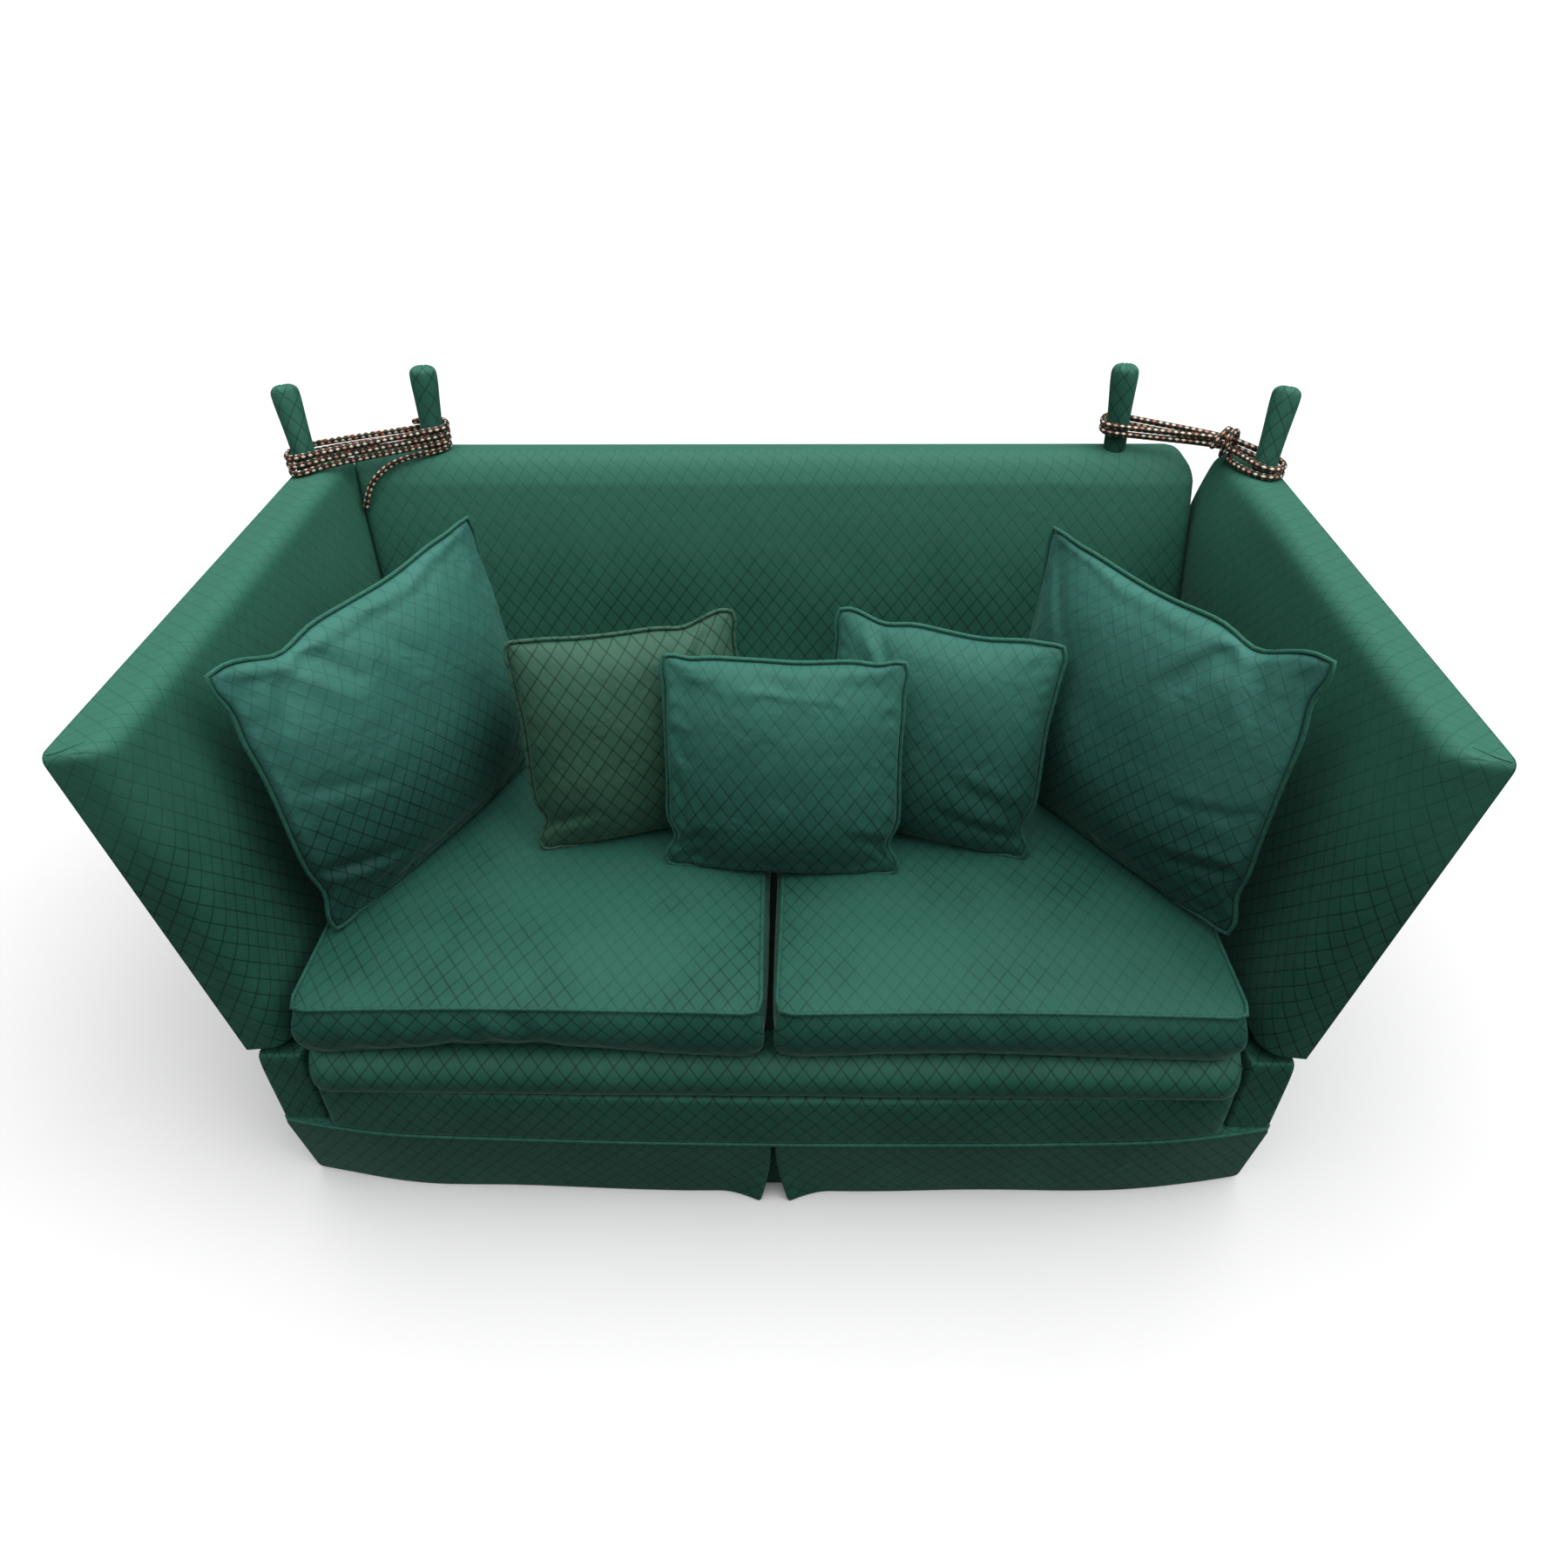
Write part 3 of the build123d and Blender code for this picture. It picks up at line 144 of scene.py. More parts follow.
def cloth_cut(name, columns, rows):
    """A flat piece of cloth from 0 to 1 each way, in a grid of squares."""
    middle = (0.5, 0.5, 0)
    bpy.ops.mesh.primitive_grid_add(x_subdivisions=columns, y_subdivisions=rows, size=1, location=middle)
    return named(name)


def shape(piece, place):
    """Moves each point of a piece to where place puts it."""
    for point in piece.data.vertices:
        point.co = place(*point.co)
    piece.data.update()


def cloth_map(piece):
    """A fresh map for the patterned cloth, in metres."""
    for old in list(piece.data.uv_layers):
        piece.data.uv_layers.remove(old)
    return piece.data.uv_layers.new(name="cloth")


def lay_flat(piece, wide, tall):
    """Lays the patterned cloth on a flat cut before it is shaped, in metres."""
    layer = cloth_map(piece)
    for loop, spot in zip(piece.data.loops, layer.data):
        x, y, _ = piece.data.vertices[loop.vertex_index].co
        spot.uv = (x * wide, y * tall)


def lay_round(piece, span, climb, end_deep, top_deep, turned=False):
    """Lays the patterned cloth on a block before it is shaped: up its front and on round every edge.

    span and climb give the lengths of cloth to a share of its width and height. A turned block has its
    front towards -X."""
    mesh, layer = piece.data, cloth_map(piece)
    for face in mesh.polygons:
        nx, ny, nz = face.normal
        if turned:
            nx, ny = ny, nx
        for index in face.loop_indices:
            x, y, z = mesh.vertices[mesh.loops[index].vertex_index].co
            if turned:
                x, y = y, x
            u, v = span(x), climb(z)
            if abs(nz) > 0.5:
                v = climb(1) + y * top_deep if nz > 0 else -y * top_deep
            elif abs(nx) > 0.5:
                u = span(1) + y * end_deep if nx > 0 else -y * end_deep
            elif ny > 0.5:
                v = 2 * climb(1) + top_deep - v
            layer.data[index].uv = (u, v)


def rough(x, y, z):
    """A steady unevenness from about -1 to 1, the same at the same place."""
    return noise.noise(Vector((x, y, z)))


def hump(distance, reach):
    """1 at no distance, falling away softly over its reach."""
    return exp(-((distance / reach) ** 2))


def round_square(count):
    """Places round a square from -1 to 1, count to a side."""
    for side in range(4):
        for i in range(count):
            share = 2 * i / count - 1
            yield ((share, -1), (1, share), (-share, 1), (-1, -share))[side]


def plain(length):
    """Cloth that runs straight over its length."""
    return lambda share: share * length


def round_run(distance, radius):
    """Length of cloth round an edge of the given radius, from its one end to a distance inwards."""
    if distance >= radius:
        return radius * (pi / 2 - 1) + distance
    return radius * acos(1 - max(distance, 0.0) / radius)


def even(count, edge=None):
    """Even cuts between 0 and 1, with one more close to each end where an edge stays crisp."""
    cuts = [(i + 1) / count for i in range(count - 1)]
    return cuts if edge is None else [edge] + cuts + [1 - edge]


def weld(piece, gap=0.00002, capped=False):
    """Joins points that meet, closes the open ends if asked, and turns the faces outwards."""
    choose(piece)
    bpy.ops.object.mode_set(mode="EDIT")
    bpy.ops.mesh.select_all(action="SELECT")
    bpy.ops.mesh.remove_doubles(threshold=gap)
    if capped:
        bpy.ops.mesh.select_all(action="DESELECT")
        bpy.ops.mesh.select_non_manifold()
        bpy.ops.mesh.edge_face_add()
        bpy.ops.mesh.select_all(action="SELECT")
    bpy.ops.mesh.normals_make_consistent(inside=False)
    bpy.ops.object.mode_set(mode="OBJECT")


def modify(piece, name, kind, **settings):
    """Applies a modifier with its settings."""
    modifier = piece.modifiers.new(name, kind)
    for key, value in settings.items():
        setattr(modifier, key, value)
    bpy.ops.object.modifier_apply(modifier=name)


def finish_mesh(piece, crisp=False):
    """Joined points and smooth shading, with a subdivision unless the piece stays crisp."""
    weld(piece)
    if crisp:
        bpy.ops.object.shade_smooth_by_angle(angle=radians(30))
    else:
        modify(piece, "soften", "SUBSURF", levels=1, render_levels=1)
        bpy.ops.object.shade_smooth()


def wrap_cord(piece):
    """Lays the patterned cloth over a cord: up its front, over its top and down its rear, in metres."""
    mesh, layer = piece.data, cloth_map(piece)
    for face in mesh.polygons:
        nx, ny, nz = face.normal
        wide, deep, tall = abs(nx), abs(ny), abs(nz)
        for index in face.loop_indices:
            x, y, z = mesh.vertices[mesh.loops[index].vertex_index].co
            if wide > deep and wide > tall:
                spot = (y, z)
            elif ny > 0 and deep >= tall and deep >= wide:
                spot = (x, y - z)
            elif ny <= 0 and deep >= wide or nz > 0 and tall >= wide:
                spot = (x, z + y)
            else:
                spot = (x, z - y)
            layer.data[index].uv = spot


def dress(piece, body, nodes=(), fill=None, material=None, slot="upholstery"):
    """Gives a finished piece its body, the CAD nodes that it stands for, and its material; its stuffing
    (fill) and slot are not used.
    """
    piece.data.materials.clear()
    piece.data.materials.append(material or sofa_cloth)
    if body:
        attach(piece, body)
    if nodes:
        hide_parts(*nodes)


def upholster(name, cuts, cloth, place, body, nodes=(), fill=None, crisp=False, **looks):
    """A cover: a block cut across, with the cloth laid round it, its points put in place and dressed."""
    piece = block(name, *cuts)
    lay_round(piece, *cloth)
    shape(piece, place)
    finish_mesh(piece, crisp)
    dress(piece, body, nodes, fill, **looks)


def drawn(name, kind, places):
    """A curve object with one line of the given kind, its points at the given places."""
    data = bpy.data.curves.new(name, "CURVE")
    data.dimensions = "3D"
    line = data.splines.new(kind)
    line.points.add(len(places) - 1)
    for point, place in zip(line.points, places):
        point.co = (*place, 1)
    curve = bpy.data.objects.new(name, data)
    bpy.context.scene.collection.objects.link(curve)
    return curve, line


def piping(name, points, closed, radius=PIPING, facets=8):
    """A round cord covered in cloth along a line of points, made a mesh."""
    curve, line = drawn(name, "POLY", points)
    line.use_cyclic_u = closed
    curve.data.bevel_depth = radius
    curve.data.bevel_resolution = (facets - 4) // 2
    curve.data.use_fill_caps = not closed
    choose(curve)
    bpy.ops.object.convert(target="MESH")
    piece = bpy.context.object
    bpy.ops.object.shade_smooth()
    wrap_cord(piece)
    return piece


# Materials


def wire(tree, kind, values=(), **settings):
    """Adds a node with its settings; a value is a number or another node's socket."""
    node = tree.nodes.new(kind)
    for key, value in settings.items():
        setattr(node, key, value)
    for key, value in dict(values).items():
        if isinstance(value, bpy.types.NodeSocket):
            tree.links.new(value, node.inputs[key])
        else:
            node.inputs[key].default_value = value
    return node


def sum_of(operation, *values):
    """A sum of sockets and numbers, of which the first is a socket."""
    return wire(values[0].id_data, "ShaderNodeMath", enumerate(values), operation=operation).outputs[0]


def times(first, second):
    return sum_of("MULTIPLY", first, second)


def plus(first, second):
    return sum_of("ADD", first, second)


def between(value, low, high, to_low=0.0, to_high=1.0):
    """A value from low to high, eased over to_low to to_high."""
    ends = {"Value": value, "From Min": low, "From Max": high, "To Min": to_low, "To Max": to_high}
    return wire(value.id_data, "ShaderNodeMapRange", ends, interpolation_type="SMOOTHSTEP").outputs[0]


def mixed(share, *colours):
    """Two colours mixed, each a socket or its red, green and blue."""
    first, second = (c if isinstance(c, bpy.types.NodeSocket) else (*c, 1) for c in colours)
    return wire(share.id_data, "ShaderNodeMix", {0: share, 6: first, 7: second}, data_type="RGBA").outputs[2]


def laid(tree, kind="Object"):
    """The place of each point, on the object or (kind UV) on its cloth."""
    return wire(tree, "ShaderNodeTexCoord").outputs[kind]


def parted(place):
    """A place's numbers one by one."""
    return wire(place.id_data, "ShaderNodeSeparateXYZ", {0: place}).outputs


def new_finish(name, **settings):
    """A material with a Principled shader and its plain values."""
    material = bpy.data.materials.new(name)
    material.use_nodes = True
    tree = material.node_tree
    shader = tree.nodes["Principled BSDF"]
    for key, value in settings.items():
        shader.inputs[key.replace("_", " ")].default_value = value
    return material, tree, shader


def mottle(tree, scale, detail, distortion=0.0):
    """Soft patches over the object."""
    values = {"Vector": laid(tree), "Scale": scale, "Detail": detail, "Roughness": 0.6}
    values["Distortion"] = distortion
    return wire(tree, "ShaderNodeTexNoise", values).outputs["Fac"]


def raised(tree, shader, height, strength, depth):
    """Bumps a finish by a height."""
    bump = wire(tree, "ShaderNodeBump", {"Height": height, "Strength": strength, "Distance": depth})
    tree.links.new(bump.outputs[0], shader.inputs["Normal"])


def lattice_cloth(name, ground, worn, thread, contrast, fade, rumple=0.003):
    """Green cotton with a woven lattice of thin dark diamonds, mottled and a little worn.

    fade gives the heights between which the cloth is painted lighter for the light falling on its tops, what
    is left of its lattice above them, painted fainter as a painted sheen, and how much lighter its ground is
    painted there."""
    sheens = {"Sheen_Weight": 0.25, "Sheen_Roughness": 0.35, "Sheen_Tint": (0.55, 0.85, 0.72, 1)}
    material, tree, shader = new_finish(name, Roughness=0.62, Specular_IOR_Level=0.28, **sheens)
    cloth = laid(tree, "UV")
    along, tall, _ = parted(cloth)
    along = sum_of("DIVIDE", along, LATTICE_WIDE)
    tall = sum_of("DIVIDE", tall, LATTICE_TALL)
    rising = sum_of("PINGPONG", plus(along, tall), 0.5)
    falling = sum_of("PINGPONG", sum_of("SUBTRACT", along, tall), 0.5)
    nearest = sum_of("MINIMUM", rising, falling)
    line = between(nearest, 0.032, 0.070, 1.0, 0.0)
    crossing = between(plus(rising, falling), 0.10, 0.17, 1.0, 0.0)
    pattern = sum_of("MAXIMUM", times(line, 0.85), crossing)
    patches = mottle(tree, 5.0, 3.0)
    fine = mottle(tree, 45.0, 4.0)
    worn_share = between(plus(patches, times(fine, 0.35)), 0.5, 0.95)
    field = mixed(worn_share, ground, worn)
    # Painted light: above the fade heights the ground is painted lighter where light falls on the tops, and
    # the lattice is painted fainter there, a painted sheen.
    low, high, left, lighter = fade
    height = parted(laid(tree))[2]
    uneven = sum_of("MULTIPLY_ADD", patches, 0.12, sum_of("SUBTRACT", height, 0.06))
    lit_share = between(uneven, low, high)
    pale = tuple(lighter * share + 0.016 * (lighter - 1) for share in worn)
    field = mixed(lit_share, field, pale)
    strength = times(pattern, between(patches, 0.3, 0.7, contrast, contrast * 0.8))
    strength = times(strength, between(lit_share, 0.0, 1.0, 1.0, left))
    colour = mixed(strength, field, thread)
    tree.links.new(colour, shader.inputs["Base Color"])
    weave = wire(tree, "ShaderNodeTexNoise", {"Vector": cloth, "Scale": 900.0, "Detail": 2.0}).outputs["Fac"]
    threads = times(sum_of("SUBTRACT", weave, pattern), THREAD_HIGH)
    rumples = times(mottle(tree, 16.0, 2.5, distortion=0.6), rumple)
    raised(tree, shader, plus(threads, rumples), 0.6, 1.0)
    return material


def timber(name, light, dark, dullness=0.6):
    """Wood with its grain along the piece."""
    material, tree, shader = new_finish(name, Roughness=dullness)
    stretched = wire(tree, "ShaderNodeMapping", {"Vector": laid(tree), "Scale": (6.0, 6.0, 1.0)}).outputs[0]
    waves = {"Vector": stretched, "Scale": 7.0, "Distortion": 5.0, "Detail": 3.0}
    grain = wire(tree, "ShaderNodeTexWave", waves).outputs["Fac"]
    pores = mottle(tree, 160.0, 3.0)
    tree.links.new(mixed(times(grain, pores), light, dark), shader.inputs[0])
    raised(tree, shader, pores, 0.2, 0.0004)
    return material


def steel(name):
    """Zinc-plated steel, dulled in the hand-worn places."""
    material, tree, shader = new_finish(name, Metallic=1.0)
    marks = mottle(tree, 90.0, 4.0)
    tree.links.new(mixed(marks, (0.42, 0.42, 0.44), (0.6, 0.6, 0.62)), shader.inputs[0])
    tree.links.new(between(marks, 0.3, 0.7, 0.28, 0.5), shader.inputs["Roughness"])
    return material


def strap(name, ground, stripe, pitch):
    """Coarse woven strap or cloth, its threads crossing."""
    material, tree, shader = new_finish(name, Roughness=0.85)
    weave = {"Vector": laid(tree), "Scale": 1 / pitch}
    checks = wire(tree, "ShaderNodeTexVoronoi", weave).outputs["Distance"]
    threads = mottle(tree, 300.0, 2.0)
    share = times(checks, threads)
    tree.links.new(mixed(share, ground, stripe), shader.inputs[0])
    raised(tree, shader, threads, 0.4, 0.0005)
    return material


def braid(name):
    """Braided rope: strands of one way near-black with some rust, of the other way cream with some rose."""
    material, tree, shader = new_finish(name, Roughness=0.45, Sheen_Weight=0.2, Specular_IOR_Level=0.4)
    around, along, _ = parted(laid(tree, "UV"))
    around = times(around, STRANDS)
    along = sum_of("DIVIDE", along, STRAND_STEP)
    one = plus(around, along)
    other = sum_of("SUBTRACT", around, along)
    one_count, other_count = sum_of("FLOOR", one), sum_of("FLOOR", other)
    over = sum_of("PINGPONG", plus(one_count, other_count), 1.0)

    def one_strand(count, chosen):
        return sum_of("COMPARE", sum_of("WRAP", count, STRANDS, 0.0), chosen, 0.1)

    dark = mixed(one_strand(one_count, 1.0), (0.008, 0.020, 0.012), (0.16, 0.030, 0.014))
    light = mixed(one_strand(other_count, 1.0), (0.80, 0.66, 0.50), (0.58, 0.26, 0.18))
    colour = mixed(over, dark, light)
    edge = sum_of("MINIMUM", sum_of("PINGPONG", one, 0.5), sum_of("PINGPONG", other, 0.5))
    shade = between(edge, 0.05, 0.22, 0.0, 1.0)
    tree.links.new(mixed(shade, (0.004, 0.006, 0.005), colour), shader.inputs[0])
    raised(tree, shader, edge, 0.6, 0.0014)
    return material


# The last numbers of each cloth place its painted light: the heights above which its ground is painted
# lighter and its lattice fainter where light falls on the tops, what is left of the lattice there and how
# much lighter the ground is painted.
sofa_cloth = lattice_cloth(
    "sofa_cloth", (0.019, 0.094, 0.064), (0.029, 0.122, 0.085), (0.003, 0.024, 0.021),
    0.80, (0.62, 0.92, 0.28, 1.32),
)
peg_cloth = lattice_cloth(
    "peg_cloth", (0.019, 0.092, 0.064), (0.028, 0.118, 0.084), (0.003, 0.024, 0.021),
    0.75, (0.95, 1.12, 0.7, 1.35),
)
seat_cloth = lattice_cloth(
    "seat_cloth", (0.016, 0.086, 0.062), (0.026, 0.112, 0.083), (0.003, 0.026, 0.023),
    0.85, (0.47, 0.53, 0.30, 1.0),
)
# The cushions' cloths have darker grounds, painted shade for their lower halves, with their upper halves
# painted lighter.
cushion_cloth = lattice_cloth(
    "cushion_cloth", (0.016, 0.080, 0.061), (0.023, 0.102, 0.079), (0.003, 0.020, 0.020),
    0.85, (0.56, 0.84, 0.28, 1.48), 0.008,
)
# Darker still, painted shade for the large cushions' lower halves, with their upper halves painted about
# twice as light.
large_cloth = lattice_cloth(
    "large_cloth", (0.013, 0.066, 0.052), (0.018, 0.084, 0.067), (0.002, 0.015, 0.016),
    0.85, (0.59, 0.88, 0.25, 2.05), 0.008,
)
faded_cloth = lattice_cloth(
    "faded_cloth", (0.029, 0.088, 0.056), (0.043, 0.112, 0.074), (0.004, 0.026, 0.021),
    0.9, (0.62, 0.86, 0.85, 1.15), 0.008,
)
piping_cloth = lattice_cloth(
    "piping_cloth", (0.018, 0.096, 0.070), (0.028, 0.122, 0.090), (0.006, 0.040, 0.034),
    0.5, (0.60, 0.9, 0.6, 1.25),
)
rope_braid = braid("rope_braid")
leg_wood = timber("leg_wood", (0.10, 0.045, 0.02), (0.03, 0.012, 0.006), 0.4)
frame_wood = timber("frame_wood", (0.52, 0.34, 0.18), (0.34, 0.20, 0.10))
hinge_steel = steel("hinge_steel")
jute = strap("jute", (0.34, 0.24, 0.13), (0.12, 0.08, 0.04), 0.004)
lining = strap("lining", (0.012, 0.035, 0.028), (0.020, 0.055, 0.044), 0.003)
under_cloth = strap("under_cloth", (0.012, 0.012, 0.013), (0.03, 0.03, 0.032), 0.002)

kept_finishes = [
    (frame_wood, ("front_rail", "back_rail", "seat_stretchers", "corner_blocks")),
    (frame_wood, ("back_posts", "back_top_rail", "back_bottom_rail", "back_uprights")),
    (leg_wood, ("legs",)),
    (hinge_steel, ("glides",)),
    (jute, ("seat_webbing", "back_webbing")),
    (under_cloth, ("dust_cover",)),
]
for side, _ in SIDES:
    kept_finishes += [
        (frame_wood, (f"{side}_side_rail", f"{side}_arm_posts")),
        (frame_wood, (f"{side}_arm_top_rail", f"{side}_arm_bottom_rails")),
        (hinge_steel, (f"{side}_hinge_base_leaves", f"{side}_hinge_arm_leaves", f"{side}_hinge_pins")),
        (jute, (f"{side}_arm_webbing",)),
    ]
for material, names in kept_finishes:
    for name in names:
        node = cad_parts[name]
        node.data.materials.clear()
        node.data.materials.append(material)

# Places of the arms and pegs


def arm_place(side, sign):
    """Where an arm's own frame stands: x outwards from the hinge, z up its lean."""
    lean = Matrix.Rotation(sign * radians(ARM_LEAN[side]), 4, "Y")
    return Matrix.Translation((sign * HINGE_X, 0, HINGE_Z)) @ lean @ Matrix.Diagonal((sign, 1, 1, 1))


def tilted(place, back, out=0.0):
    """A frame whose upright leans back and outwards by the given angles."""
    lean_out, lean_back = tan(radians(out)), tan(radians(back))
    up = Vector((lean_out, lean_back, 1)).normalized()
    across = Vector((1, 0, -lean_out)).normalized()
    return Matrix.Translation(place) @ Matrix((across, up.cross(across), up)).transposed().to_4x4()


BACK_PEG_PLACE = Vector((-0.014, 0.514, BACK_TOP))
BACK_PEG_X = 0.678
BACK_PEG_TILT = 8
ARM_PEG_TILT = 20
ARM_PEG_INSET = {"left": 0.026, "right": 0.036}
ARM_PEG_Y = {"left": 0.404, "right": 0.382}
ARM_PEG_SPLAY = {"left": 4, "right": 2}
peg_places = {}
for side, sign in SIDES:
    spot = (-ARM_PEG_INSET[side], ARM_PEG_Y[side], ARM_HIGH)
    peg_places[f"{side}_arm_peg"] = arm_place(side, sign) @ tilted(spot, ARM_PEG_TILT, ARM_PEG_SPLAY[side])
    spot = BACK_PEG_PLACE + Vector((sign * BACK_PEG_X, 0, 0))
    peg_places[f"{side}_back_peg"] = tilted(spot, BACK_PEG_TILT)

# Ropes

ROPE_GAP = 0.0012
ROPE_PITCH = ROPE_THICK + ROPE_GAP
ROPE_STEP = 0.0026
PEG_FOOT = 0.0215
PEG_RING = PEG_FOOT + ROPE_THICK / 2
FIRST_LEVEL = ROPE_THICK / 2 + ROPE_GAP
HALF_PITCH = ROPE_PITCH / 2
BACK_STRAIGHT = 0.060
BACK_CORNER = Vector((HALF_WIDTH, HALF_DEPTH, BACK_TOP))
BACK_UP = Vector((0, 0, 1))
LEFT_TAIL = (
    (0.018, -0.051, -0.089),
    (0.029, -0.046, -0.051),
    (0.057, -0.030, -0.018),
    (0.102, -0.010, 0.002),
)
LEFT_TURNS = 4
LEFT_CREST_SHARE = 0.18
LEFT_CREST_CLEARANCE = 0.003
RIGHT_TURNS = 2
RIGHT_START_HEIGHT = 0.033
RIGHT_START_INSET = 0.002
RIGHT_KNOT = (0.016, -0.028, 0.037)
RIGHT_KNOT_HALF = 0.018
RIGHT_KNOT_WRAPS = 2
RIGHT_FAN = 0.002
RIGHT_TAIL = 0.034


def foot(peg):
    """The middle of a peg's foot."""
    return peg_places[peg].translation


def up_arm(side, sign):
    """The way up along an arm."""
    return arm_place(side, sign).col[2].xyz


def round_peg(peg, up, level, winding, come, go):
    """The two corners of a route round a peg, on its far side from where the rope comes and goes.

    The winding is 1 anticlockwise from above and -1 clockwise."""
    axis = peg_places[peg].col[2].xyz
    lean = axis.dot(up)
    centre = foot(peg) + axis * (level / lean)
    ring = (PEG_RING + ROPE_GAP) / lean
    across = (come + go) / 2 - centre
    across = (across - up * across.dot(up)).normalized()
    beside = up.cross(across)
    corners = []
    for way, goal in ((winding, come), (-winding, go)):
        ahead = (goal - centre).dot(across)
        aside = way * (goal - centre).dot(beside)
        touch = atan2(aside, ahead) + acos(ring / hypot(ahead, aside))
        width = ring * (1 + cos(touch)) / sin(touch)
        corners.append(centre - across * ring + beside * (way * width))
    return corners


def to_tenth(place):
    """A place to the nearest tenth of a millimetre."""
    return Vector([round(part, 4) for part in place])


def straight(corner, goal):
    """Where the straight stretch from a corner of a route towards a goal ends."""
    corner = to_tenth(corner)
    return corner + (to_tenth(goal) - corner).normalized() * BACK_STRAIGHT


def round_back_peg(side, level, winding, last, come, go):
    """The same round a back peg, with the straight stretches before and after it."""
    first, second = round_peg(f"{side}_back_peg", BACK_UP, level, winding, come, go)
    return [straight(first, last), first, second, straight(second, go)]


def left_route():
    """A tail hangs at the front of the back, then the rope winds up both pegs side by side."""
    lean = radians(ARM_LEAN["left"])
    crest = foot("left_arm_peg").lerp(foot("left_back_peg"), LEFT_CREST_SHARE)
    crest.z = (ARM_HIGH - ARM_TOP_ROUND) * cos(lean) + (ARM_INNER_TOP - ARM_TOP_ROUND) * sin(lean)
    crest.z += HINGE_Z + ARM_TOP_ROUND + FIRST_LEVEL + LEFT_CREST_CLEARANCE
    apart = Vector((0, PEG_RING, 0))
    route = [Vector((x - HALF_WIDTH, y + HALF_DEPTH, z + BACK_TOP)) for x, y, z in LEFT_TAIL]
    way_up = up_arm("left", -1)
    for turn in range(LEFT_TURNS):
        level = FIRST_LEVEL + turn * ROPE_PITCH
        go = crest + apart + Vector((0, 0, turn * ROPE_PITCH))
        stretch = round_back_peg("left", level, 1, route[-1], route[-1], go)
        route += stretch if turn else stretch[1:]
        if turn < LEFT_TURNS - 1:
            back_again = go - 2 * apart
            route += [go, *round_peg("left_arm_peg", way_up, level, 1, go, back_again), back_again]
    return route


def right_route():
    """Two turns drawn together between the pegs, where the rope's end is wrapped round them in a knot."""
    knot = BACK_CORNER + Vector(RIGHT_KNOT)
    along = (knot - foot("right_back_peg")).normalized() + (foot("right_arm_peg") - knot).normalized()
    along.normalize()
    behind = BACK_UP.cross(along).normalized()
    over = along.cross(behind)
    near, past = knot - along * RIGHT_KNOT_HALF, knot + along * RIGHT_KNOT_HALF
    aside = behind * HALF_PITCH
    route = [near - aside + over * HALF_PITCH + along * RIGHT_START_INSET]
    for turn in range(RIGHT_TURNS):
        step_up = (RIGHT_TURNS - 1 - turn) * ROPE_PITCH
        rise = over * (step_up - HALF_PITCH)
        come, go = near - aside + rise, near + aside + rise
        level = RIGHT_START_HEIGHT + ROPE_THICK / 2 + step_up
        route += round_back_peg("right", level, -1, route[-1], come, go)
        route += [go, past + aside + rise]
        level = FIRST_LEVEL + ROPE_GAP + step_up
        route += round_peg("right_arm_peg", up_arm("right", 1), level, -1, past + aside, past - aside)
        if turn < RIGHT_TURNS - 1:
            route += [past - aside - rise - behind * RIGHT_FAN, near - aside - rise]
    wrap = HALF_PITCH * sqrt(2) + ROPE_PITCH + RIGHT_FAN / 2
    sides = ((-1, -1), (1, -1), (1, 1), (-1, 1))
    steps = len(sides) * RIGHT_KNOT_WRAPS
    for step in range(steps):
        out, up = sides[step % len(sides)]
        shift = ROPE_PITCH * (steps / 2 - step) / len(sides)
        route.append(knot + behind * (out * wrap) + over * (up * wrap) + along * shift)
    return route + [route[-1] - over * RIGHT_TAIL - along * ROPE_THICK]


def rope_line(name, route):
    """The rope's middle line: one smooth spline, read back as the points that its strands follow."""
    curve, line = drawn(name, "NURBS", [to_tenth(place) for place in route])
    curve.data.resolution_u = 16
    line.order_u = 3
    line.use_endpoint_u = True
    bpy.context.view_layer.update()
    read = bpy.data.meshes.new_from_object(curve)
    places = [Vector(point.co) for point in read.vertices]
    bpy.data.meshes.remove(read)
    bpy.data.objects.remove(curve)
    return places


def even_steps(places, step):
    """The same line with its points at even steps."""
    result, left = [places[0]], step
    for start, end in zip(places, places[1:]):
        run = (end - start).length
        while left <= run:
            result.append(start.lerp(end, left / run))
            left += step
        left -= run
    if (places[-1] - result[-1]).length > step / 4:
        result.append(places[-1])
    return result


